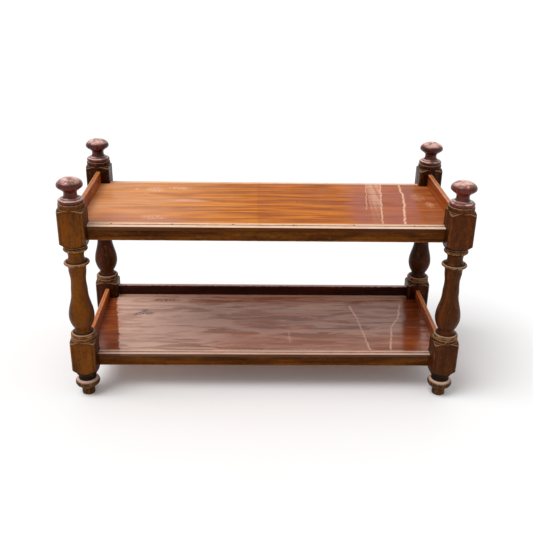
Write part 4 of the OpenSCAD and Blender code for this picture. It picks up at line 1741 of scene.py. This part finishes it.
@dataclass
class TurnedParts:
    """The four posts with their feet and finials.

    Sizes are in millimetres, from the floor upward. A pair is a radius and a height, a name
    in r is a radius, in h a height, and one in shade the painted shade of a stretch under a
    block, from 0 to 1.
    """

    toe: Pair = (20.5, 26.0)
    foot_bead: Pair = (26.0, 4.0)
    foot_ring: Pair = (38.5, 27.0)
    foot_shelf_r: float = 28.0
    foot_cove: Pair = (26.0, 10.0)
    foot_neck_h: float = 8.0
    foot_spigot: Pair = (12.0, 28.0)
    foot_dents: float = 0.6
    foot_shade: float = 0.8

    rim: Pair = (33.0, 4.0)
    rim_shade: float = 0.55
    quirk: Pair = (30.5, 4.0)
    low_block_h: float = 118.0
    low_shoulder: Pair = (34.5, 28.0)
    block_top: Pair = (42.0, 12.0)

    low_drum: Pair = (39.0, 10.0)
    low_ring: Pair = (38.5, 12.0)
    neck: Pair = (24.5, 16.0)
    bulb: Pair = (39.0, 42.0)
    low_stem: Pair = (25.5, 78.0)
    stem: Pair = (23.0, 42.0)
    flare: Pair = (26.5, 36.0)
    collar_under_h: float = 18.0
    collar: Pair = (38.5, 7.0)
    top_neck: Pair = (23.5, 17.0)
    top_slope_h: float = 20.0
    top_bead: Pair = (36.5, 9.0)

    groove: Pair = (30.5, 4.5)
    fillet: Pair = (35.5, 2.5)
    up_block_h: float = 118.0
    up_shoulder: Pair = (34.5, 24.0)
    up_drum: Pair = (39.0, 14.0)

    fin_ring: Pair = (38.0, 13.0)
    fin_step: Pair = (29.0, 3.0)
    fin_waist: Pair = (19.5, 11.0)
    fin_waist_h: float = 4.0
    fin_head: Pair = (38.5, 22.0)
    fin_dome_h: float = 23.0
    fin_dome_steps: int = 28
    fin_spigot: Pair = (10.0, 30.0)
    fin_dents: float = 0.25

    fit_gap: float = 0.1
    end_gap: float = 1.0
    edge_ease: float = 1.5
    bead_inset: float = 3.0
    scribe_depth: float = 0.9

    def lathe(self, node: str) -> TurnedPiece:
        """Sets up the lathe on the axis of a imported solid.

        Args:
            node: Name of the solid.

        Returns:
            The piece that is to be turned.
        """
        low, high = box_mm(node)
        middle = (low + high) / 2
        return TurnedPiece((middle.x, middle.y))

    def foot(self, node: str) -> bpy.types.Object:
        """Turns one foot.

        Args:
            node: Name of the solid that it stands for.

        Returns:
            The new piece.
        """
        low, _ = box_mm(node)
        turned = self.lathe(node)
        turned.dent_depth = self.foot_dents
        toe_r, toe_h = self.toe
        line = Outline(toe_r - self.edge_ease, low.z)
        line.slope(toe_r, self.edge_ease).rise(toe_h - self.edge_ease)
        line.bead(*self.foot_bead).bead(*self.foot_ring)
        turned.turn(line.points)
        # Painted shade on the cove, neck and spigot under the block.
        line = Outline(self.foot_shelf_r, line.height).ogee(*self.foot_cove)
        line.rise(self.foot_neck_h).drum(*self.foot_spigot)
        turned.turn(line.points, painted_shade=self.foot_shade)
        return turned.stack.build(f"dressed_{node}")

    def post(self, node: str) -> bpy.types.Object:
        """Turns one post, with its two square blocks and the bores in its ends.

        Args:
            node: Name of the solid that it stands for.

        Returns:
            The new piece.
        """
        low, high = box_mm(node)
        turned = self.lathe(node)
        turned.block_half = (high.x - low.x) / 2

        bore_end = low.z + self.foot_spigot[1] + self.end_gap
        line = Outline(self.foot_spigot[0] + self.fit_gap, bore_end).rise(low.z - bore_end)
        line.bead(*self.rim).drum(*self.quirk)
        # Painted shade on the rim and quirk under the lower block.
        turned.turn(line.points, painted_shade=self.rim_shade)
        top = line.height + self.low_block_h
        turned.block(line.height, top, self.low_shoulder, self.block_top)

        line = self._shaft(top)
        turned.turn(line.points)
        top = line.height + self.up_block_h
        turned.block(line.height, top, self.up_shoulder, self.block_top)

        drum_r, drum_h = self.up_drum
        line = Outline(drum_r, top).rise(drum_h - self.edge_ease)
        line.slope(drum_r - self.edge_ease, self.edge_ease)
        line.drum(self.fin_spigot[0] + self.fit_gap, -self.fin_spigot[1] - self.end_gap)
        turned.turn(line.points)
        return turned.stack.build(f"dressed_{node}")

    def _shaft(self, bottom: float) -> Outline:
        """Draws a post's turned shaft, between its two blocks.

        Args:
            bottom: Height of its lower end.

        Returns:
            The outline, up to the fillet under the upper block.
        """
        drum_r, drum_h = self.low_drum
        line = Outline(drum_r, bottom).rise(drum_h - self.edge_ease)
        line.slope(drum_r - self.bead_inset, self.edge_ease)
        line.bead(*self.low_ring).step(self.low_ring[0] - self.bead_inset)
        line.hollow_in(*self.neck).swell(*self.bulb).ogee(*self.low_stem).ogee(*self.stem)
        flare_r, flare_h = self.flare
        line.ogee(flare_r, flare_h - 2 * self.scribe_depth)
        line.slope(flare_r - self.scribe_depth, self.scribe_depth).slope(flare_r, self.scribe_depth)
        line.hollow_out(self.collar[0] - self.bead_inset, self.collar_under_h)
        line.bead(*self.collar).step(self.collar[0] - self.bead_inset).hollow_in(*self.top_neck)
        line.hollow_out(self.top_bead[0] - self.bead_inset, self.top_slope_h)
        return line.bead(*self.top_bead).drum(*self.groove).drum(*self.fillet)

    def finial(self, node: str) -> bpy.types.Object:
        """Turns one mushroom finial.

        Args:
            node: Name of the solid that it stands for.

        Returns:
            The new piece.
        """
        low, _ = box_mm(node)
        spigot_r, spigot_l = self.fin_spigot
        line = Outline(spigot_r, low.z).rise(spigot_l).bead(*self.fin_ring)
        step_r, step_h = self.fin_step
        line.drum(step_r, step_h - self.edge_ease).slope(step_r - self.edge_ease, self.edge_ease)
        line.hollow_in(*self.fin_waist).rise(self.fin_waist_h).ogee(*self.fin_head)
        dome = Outline(line.radius, line.height, steps=self.fin_dome_steps).dome(self.fin_dome_h)
        turned = self.lathe(node)
        turned.dent_depth = self.fin_dents
        turned.turn(line.points)
        turned.turn(dome.points, window=0.0)
        return turned.stack.build(f"dressed_{node}")

    def make(self, shop: Workshop) -> None:
        """Makes all twelve pieces.

        Args:
            shop: Workshop that dresses and places them.
        """
        for face in ("front", "back"):
            for side in ("left", "right"):
                foot, post, finial = (f"{kind}_{face}_{side}" for kind in ("foot", "post", "finial"))
                shop.place(self.foot(foot), foot, shop.finishes.foot)
                shop.place(self.post(post), post, shop.finishes.post)
                shop.place(self.finial(finial), finial, shop.finishes.finial)


@dataclass
class Boards:
    """The upper board and the shelf, with their rounded edges.

    Attributes are in millimetres, but for edge_shade, the painted shade on the boards' upright edges, from 0
    to 1.
    """

    up_mould_w: float = 13.0
    low_mould_w: float = 9.0
    mould_step: float = 1.2
    mould_under: float = 5.0
    mould_drop: float = 4.5
    lip: float = 2.5
    board_gap: float = 0.3
    ease: float = 0.5
    curve_steps: int = 12
    across_step: float = 9.0
    along_step: float = 24.0
    wear_reach: float = 4.0
    wear_foot: float = 0.6
    edge_shade: float = 0.8
    shade_past: float = 0.5

    def mould(self, width: float, thick: float) -> list[Pair]:
        """Rounded edge of a board, as (distance inward, height above the underside).

        Args:
            width: Width of the rounded edge.
            thick: Thickness of the board.

        Returns:
            The points, from the underside to the flat top.
        """
        foot = thick - self.mould_drop
        rise = self.mould_drop - self.mould_step
        shares = [i / self.curve_steps for i in range(self.curve_steps + 1)]
        curve = [(width * slow_then_fast(t), foot + rise * fast_then_slow(t)) for t in shares]
        top = [(width, thick), (width + self.lip, thick)]
        return [(self.mould_under, 0.0), (0.0, self.mould_under), *curve, *top]

    def board(self, node: str, width: float, back_moulded: bool) -> bpy.types.Object:
        """Makes one board, notched at its corners for the posts.

        Args:
            node: Name of the solid that it stands for.
            width: Width of its rounded edge.
            back_moulded: Whether the back edge is rounded too.

        Returns:
            The new piece.
        """
        low, high = box_mm(node)
        post_low, post_high = box_mm("post_front_right")
        shoulder_x = post_low.x - self.board_gap
        neck_y = -post_high.y - self.board_gap
        edge = self.mould(width, high.z - low.z)
        front = [(low.y + u, low.z + z) for u, z in edge]
        back = [(high.y - u, low.z + z) for u, z in reversed(edge)]
        creases = [front[-3], back[2]]
        if not back_moulded:
            back = [(high.y, high.z), (high.y, low.z)]
            creases = [front[-3]]
        outline = eased([*front, *back], self.ease, closed=True, turn=30.0)
        section = divided(outline, self.across_step, closed=True)

        square_top = high.z - self.mould_drop + self.wear_foot
        wear = corner_wear(section, [*front[3:6], *back[-6:-3]], self.wear_reach)
        wear = [0.0 if z < square_top else w for (_, z), w in zip(section, wear)]
        # Painted shade on the upright edges under the moulding, and a dark line in the step at its top.
        border = self.mould_under + self.shade_past
        painted_shade = [
            self.edge_shade if z < square_top and min(y - low.y, high.y - y) < border else crease
            for (y, z), crease in zip(section, corner_wear(section, creases, self.lip))
        ]
        neck = [(max(-neck_y, min(neck_y, y)), z) for y, z in section]
        neck_wear = [0.0 if abs(y) > neck_y else w for (y, _), w in zip(section, wear)]
        bar = BarPiece(Grain.ALONG_X)
        bar.run((low.x, -shoulder_x), self.along_step, neck, neck_wear, painted_shade)
        bar.run((-shoulder_x, shoulder_x), self.along_step, section, wear, painted_shade)
        bar.run((shoulder_x, high.x), self.along_step, neck, neck_wear, painted_shade)
        return bar.stack.build(f"dressed_{node}")

    def make(self, shop: Workshop) -> None:
        """Makes both boards.

        Args:
            shop: Workshop that dresses and places them.
        """
        for node, width, back_moulded, finish in (
            ("upper_board", self.up_mould_w, True, shop.finishes.upper_board),
            ("lower_board", self.low_mould_w, False, shop.finishes.shelf),
        ):
            shop.place(self.board(node, width, back_moulded), node, finish)


@dataclass
class Fillers:
    """The dots of dark filler over the nails along the upper board's front edge.

    Attributes:
        count: Count of nails in the row.
        inset_left, inset_right: Distances in millimetres from the post blocks to the end nails.
        inward: Distance of the row from the board's front edge.
        radius, uneven: Radius of a dot, and the share of it by which it wavers.
        steps: Count of steps round a dot.
        proud, depth: Height of its middle above the board, and depth to which it is sunk.
        lip: Height at which its side ends and its crown starts.
        crown: Shares of the radius and of the height of the crown's two rings.
    """

    count: int = 6
    inset_left: float = 69.0
    inset_right: float = 91.0
    inward: float = 16.0
    radius: float = 2.6
    uneven: float = 0.12
    steps: int = 24
    proud: float = 0.3
    depth: float = 0.8
    lip: float = 0.02
    crown: tuple[Pair, Pair] = ((0.85, 0.6), (0.5, 0.9))

    def make(self, shop: Workshop) -> None:
        """Makes the row of dots as one piece.

        Args:
            shop: Workshop that dresses and places it.
        """
        low, high = box_mm("upper_board")
        post_low, _ = box_mm("post_front_right")
        first, last = -post_low.x + self.inset_left, post_low.x - self.inset_right
        y = low.y + self.inward
        draft = bmesh.new()
        for i in range(self.count):
            x = first + (last - first) * i / (self.count - 1)
            self._dot(draft, Vector((x, y, high.z)))
        bmesh.ops.recalc_face_normals(draft, faces=draft.faces)
        mesh = bpy.data.meshes.new("nail_fillers")
        draft.to_mesh(mesh)
        draft.free()
        mesh.shade_smooth()
        shop.place(linked(mesh.name, mesh), None, shop.finishes.filler)

    def _dot(self, draft: bmesh.types.BMesh, place: Vector) -> None:
        """Adds one shallow dot.

        Args:
            draft: The mesh.
            place: Middle of the dot, in millimetres.
        """
        crown = [(share, self.proud * rise) for share, rise in self.crown]
        rings = []
        for share, rise in [(1.0, -self.depth), (1.0, self.lip), *crown]:
            ring = []
            for k in range(self.steps):
                angle = 2 * math.pi * k / self.steps
                waver = 1 + self.uneven * noise.noise(Vector((place.x, angle, 0.7)))
                reach = self.radius * share * waver
                spot = place + Vector((reach * math.cos(angle), reach * math.sin(angle), rise))
                ring.append(draft.verts.new(spot * MM))
            rings.append(ring)
        for lower, upper in zip(rings, rings[1:]):
            for k in range(self.steps):
                j = (k + 1) % self.steps
                draft.faces.new((lower[k], lower[j], upper[j], upper[k]))
        draft.faces.new(rings[0])
        draft.faces.new(rings[-1])


@dataclass
class Rails:
    """The eight rails, each with a tenon at both ends.

    Attributes are in millimetres, but for round_steps, the count of steps in a rounded edge,
    and sharp_turn, the degrees from which a corner is eased.
    """

    tenon_t: float = 8.0
    tenon_shoulder: float = 6.0
    lower_ease: float = 1.5
    arris_ease: float = 0.4
    sharp_turn: float = 40.0
    gallery_round: float = 3.0
    round_steps: int = 5
    across_step: float = 5.0
    along_step: float = 12.0
    wear_reach: float = 5.0

    def corners(self, low: Pair, high: Pair, gallery: bool) -> list[Pair]:
        """Corners of a rail's section, as (place across, height).

        Args:
            low: Its lower left corner.
            high: Its upper right corner.
            gallery: Whether its top edges are rounded; if not, its lower edges are eased.

        Returns:
            The corners, from the lower left one on.
        """
        (u0, z0), (u1, z1) = low, high
        if not gallery:
            e = self.lower_ease
            return [(u0 + e, z0), (u1 - e, z0), (u1, z0 + e), (u1, z1), (u0, z1), (u0, z0 + e)]
        r = self.gallery_round
        quarter = [math.pi / 2 * i / self.round_steps for i in range(self.round_steps + 1)]
        right = [(u1 - r + r * math.cos(a), z1 - r + r * math.sin(a)) for a in quarter]
        left = [(u0 + r - r * math.sin(a), z1 - r + r * math.cos(a)) for a in quarter]
        return [low, (u1, z0), *right, *left]

    def rail(self, node: str, grain: Grain, gallery: bool) -> bpy.types.Object:
        """Makes one rail between the shoulders of its posts, with its tenons.

        Args:
            node: Name of the solid that it stands for.
            grain: Direction in which it runs.
            gallery: Whether its top edges are rounded.

        Returns:
            The new piece.
        """
        low, high = box_mm(node)
        post_low, post_high = box_mm("post_front_right")
        if grain is Grain.ALONG_X:
            low_u, high_u, end, shoulder = low.y, high.y, high.x, post_low.x
        else:
            low_u, high_u, end, shoulder = low.x, high.x, high.y, -post_high.y
        corners = self.corners((low_u, low.z), (high_u, high.z), gallery)
        outline = eased(corners, self.arris_ease, closed=True, turn=self.sharp_turn)
        section = divided(outline, self.across_step, closed=True)
        if gallery:
            top = [(low_u + 1, high.z), (high_u - 1, high.z)]
            wear = corner_wear(section, top, self.wear_reach + self.gallery_round)
        else:
            wear = corner_wear(section, corners[:3] + corners[5:], self.wear_reach)
        clean = [0.0] * len(section)
        tenon = self._tenon_ring(section, (low_u + high_u) / 2, low.z, high.z)
        bar = BarPiece(grain)
        bar.run((-end, -shoulder), self.along_step * 2, tenon, clean, clean)
        bar.run((-shoulder, shoulder), self.along_step, section, wear, clean)
        bar.run((shoulder, end), self.along_step * 2, tenon, clean, clean)
        return bar.stack.build(f"dressed_{node}")

    def _tenon_ring(self, section: Sequence[Pair], middle: float, low_z: float, high_z: float) -> list[Pair]:
        """Draws a rail's section in to the sides of its tenon.

        Args:
            section: The section.
            middle: Its middle across.
            low_z: Height of its underside.
            high_z: Height of its top.

        Returns:
            The same count of points.
        """
        half, shoulder = self.tenon_t / 2, self.tenon_shoulder
        return [
            (max(middle - half, min(middle + half, u)), max(low_z + shoulder, min(high_z - shoulder, z)))
            for u, z in section
        ]

    def make(self, shop: Workshop) -> None:
        """Makes all eight rails.

        Args:
            shop: Workshop that dresses and places them.
        """
        finishes = shop.finishes
        for node in ("upper_front_rail", "upper_back_rail", "lower_front_rail"):
            shop.place(self.rail(node, Grain.ALONG_X, False), node, finishes.rail)
        back = "lower_back_rail"
        shop.place(self.rail(back, Grain.ALONG_X, True), back, finishes.back_rail)
        for node in ("upper_left_rail", "upper_right_rail", "lower_left_rail", "lower_right_rail"):
            shop.place(self.rail(node, Grain.ALONG_Y, True), node, finishes.gallery)


@dataclass
class HiddenJoinery:
    """Battens, glue blocks, nails and screws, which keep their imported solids.

    Attributes:
        side_battens: Battens whose grain runs from front to back.
        long_pine: The batten and the blocks whose grain runs from end to end.
        nails: Sets of nails.
        screws: Sets of screws.
    """

    side_battens: tuple[str, ...] = (
        "upper_left_batten", "upper_right_batten", "lower_left_batten", "lower_right_batten",
    )
    long_pine: tuple[str, ...] = ("lower_back_batten", "upper_glue_blocks", "lower_glue_blocks")
    nails: tuple[str, ...] = ("upper_board_nails", "lower_board_nails")
    screws: tuple[str, ...] = ("upper_batten_screws", "lower_batten_screws")

    def make(self, shop: Workshop) -> None:
        """Dresses each of the solids.

        Args:
            shop: Workshop that holds the solids and the finishes.
        """
        finishes = shop.finishes
        for names, finish in (
            (self.side_battens, finishes.pine), (self.long_pine, finishes.long_pine),
            (self.nails, finishes.iron), (self.screws, finishes.steel),
        ):
            for name in names:
                shop.dress(name, finish)


# Studio


@dataclass
class Studio:
    """White floor, soft light from the upper left and the camera.

    Attributes:
        pitch, yaw, roll: How far the camera looks down, turns right and leans, in degrees.
        camera_at: Its place, in metres.
        focal_pixels: Its focal length, in pixels of the picture.
        sensor: Width of its sensor, in millimetres.
        floor_reach: Half width of the floor, in metres.
        light_from, light_width: Direction of the soft light, and its spread in degrees.
        light_power: Power of that light, in watts to the square metre.
        sky: Strength of the even light from all round.
        paper, paper_roughness: Whiteness and roughness of the floor.
    """

    pitch: float = 24.25
    yaw: float = 1.509
    roll: float = 0.9895
    camera_at: Place = (-0.0546, -2.2772, 1.3768)
    focal_pixels: float = 750.14
    sensor: float = 36.0
    floor_reach: float = 30.0
    light_from: Place = (-0.42, -0.2, 0.88)
    light_width: float = 38.0
    light_power: float = 1.75
    sky: float = 0.62
    paper: float = 0.97
    paper_roughness: float = 0.9

    def camera(self) -> None:
        """Sets up the camera as the photograph was taken."""
        p, w, r = (math.radians(a) for a in (self.pitch, self.yaw, self.roll))
        ahead = Vector((math.sin(w) * math.cos(p), math.cos(w) * math.cos(p), -math.sin(p)))
        level = Vector((math.cos(w), -math.sin(w), 0.0))
        above = level.cross(ahead)
        right = level * math.cos(r) + above * math.sin(r)
        up = above * math.cos(r) - level * math.sin(r)
        lens = bpy.data.cameras.new("camera")
        lens.sensor_width = self.sensor
        lens.lens = self.focal_pixels / PICTURE_PIXELS * self.sensor
        eye = linked("camera", lens)
        turn = Matrix((right, up, -ahead)).transposed().to_4x4()
        eye.matrix_world = Matrix.Translation(Vector(self.camera_at)) @ turn
        bpy.context.scene.camera = eye

    def floor(self) -> None:
        """Lays the floor, which the camera sees white where no shadow falls."""
        reach = self.floor_reach
        mesh = bpy.data.meshes.new("floor")
        corners = [(-reach, -reach, 0.0), (reach, -reach, 0.0), (reach, reach, 0.0), (-reach, reach, 0.0)]
        mesh.from_pydata(corners, [], [(0, 1, 2, 3)])
        ink = NodeSketch("floor_paper")
        ink.dress({
            "Base Color": (self.paper, self.paper, self.paper),
            "Roughness": self.paper_roughness, "Specular IOR Level": 0.0,
        })
        mesh.materials.append(ink.material)
        ground = linked("floor", mesh)

    def sky_light(self) -> None:
        """Sets the even light, which shows white to the camera and in reflections."""
        world = bpy.data.worlds.new("white_room")
        world.use_nodes = True
        bpy.context.scene.world = world
        wiring = Wiring(world.node_tree)
        rays = wiring.add("ShaderNodeLightPath").outputs
        seen = rays["Is Camera Ray"]
        for label in ("Is Glossy Ray", "Is Transmission Ray"):
            seen = wiring.maths("MAXIMUM", seen, rays[label])
        level = wiring.add("ShaderNodeMapRange", {"Value": seen, "To Min": self.sky, "To Max": 1.0})
        sockets = {"Color": (1.0, 1.0, 1.0), "Strength": level.outputs[0]}
        light = wiring.add("ShaderNodeBackground", sockets)
        wiring.add("ShaderNodeOutputWorld", {"Surface": light.outputs[0]})

    def lamp(self) -> None:
        """Hangs the soft light at the upper left."""
        light = bpy.data.lights.new("soft_light", "SUN")
        light.angle = math.radians(self.light_width)
        light.energy = self.light_power
        lamp = linked("soft_light", light)
        lamp.rotation_euler = Vector(self.light_from).to_track_quat("Z", "Y").to_euler()

    def make(self) -> None:
        """Sets up the whole studio."""
        bpy.context.scene.view_settings.view_transform = "Standard"
        self.camera()
        self.floor()
        self.sky_light()
        self.lamp()


def main() -> None:
    """Loads the frame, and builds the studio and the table."""
    logging.basicConfig(level=logging.INFO, format="%(name)s: %(message)s")
    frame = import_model()
    Studio().make()
    shop = Workshop(nodes=frame["nodes"], finishes=Finishes())
    for section in (TurnedParts(), Boards(), Fillers(), Rails(), HiddenJoinery()):
        section.make(shop)
    log.info("%d pieces in place", len(shop.placed))


if __name__ == "__main__":
    main()
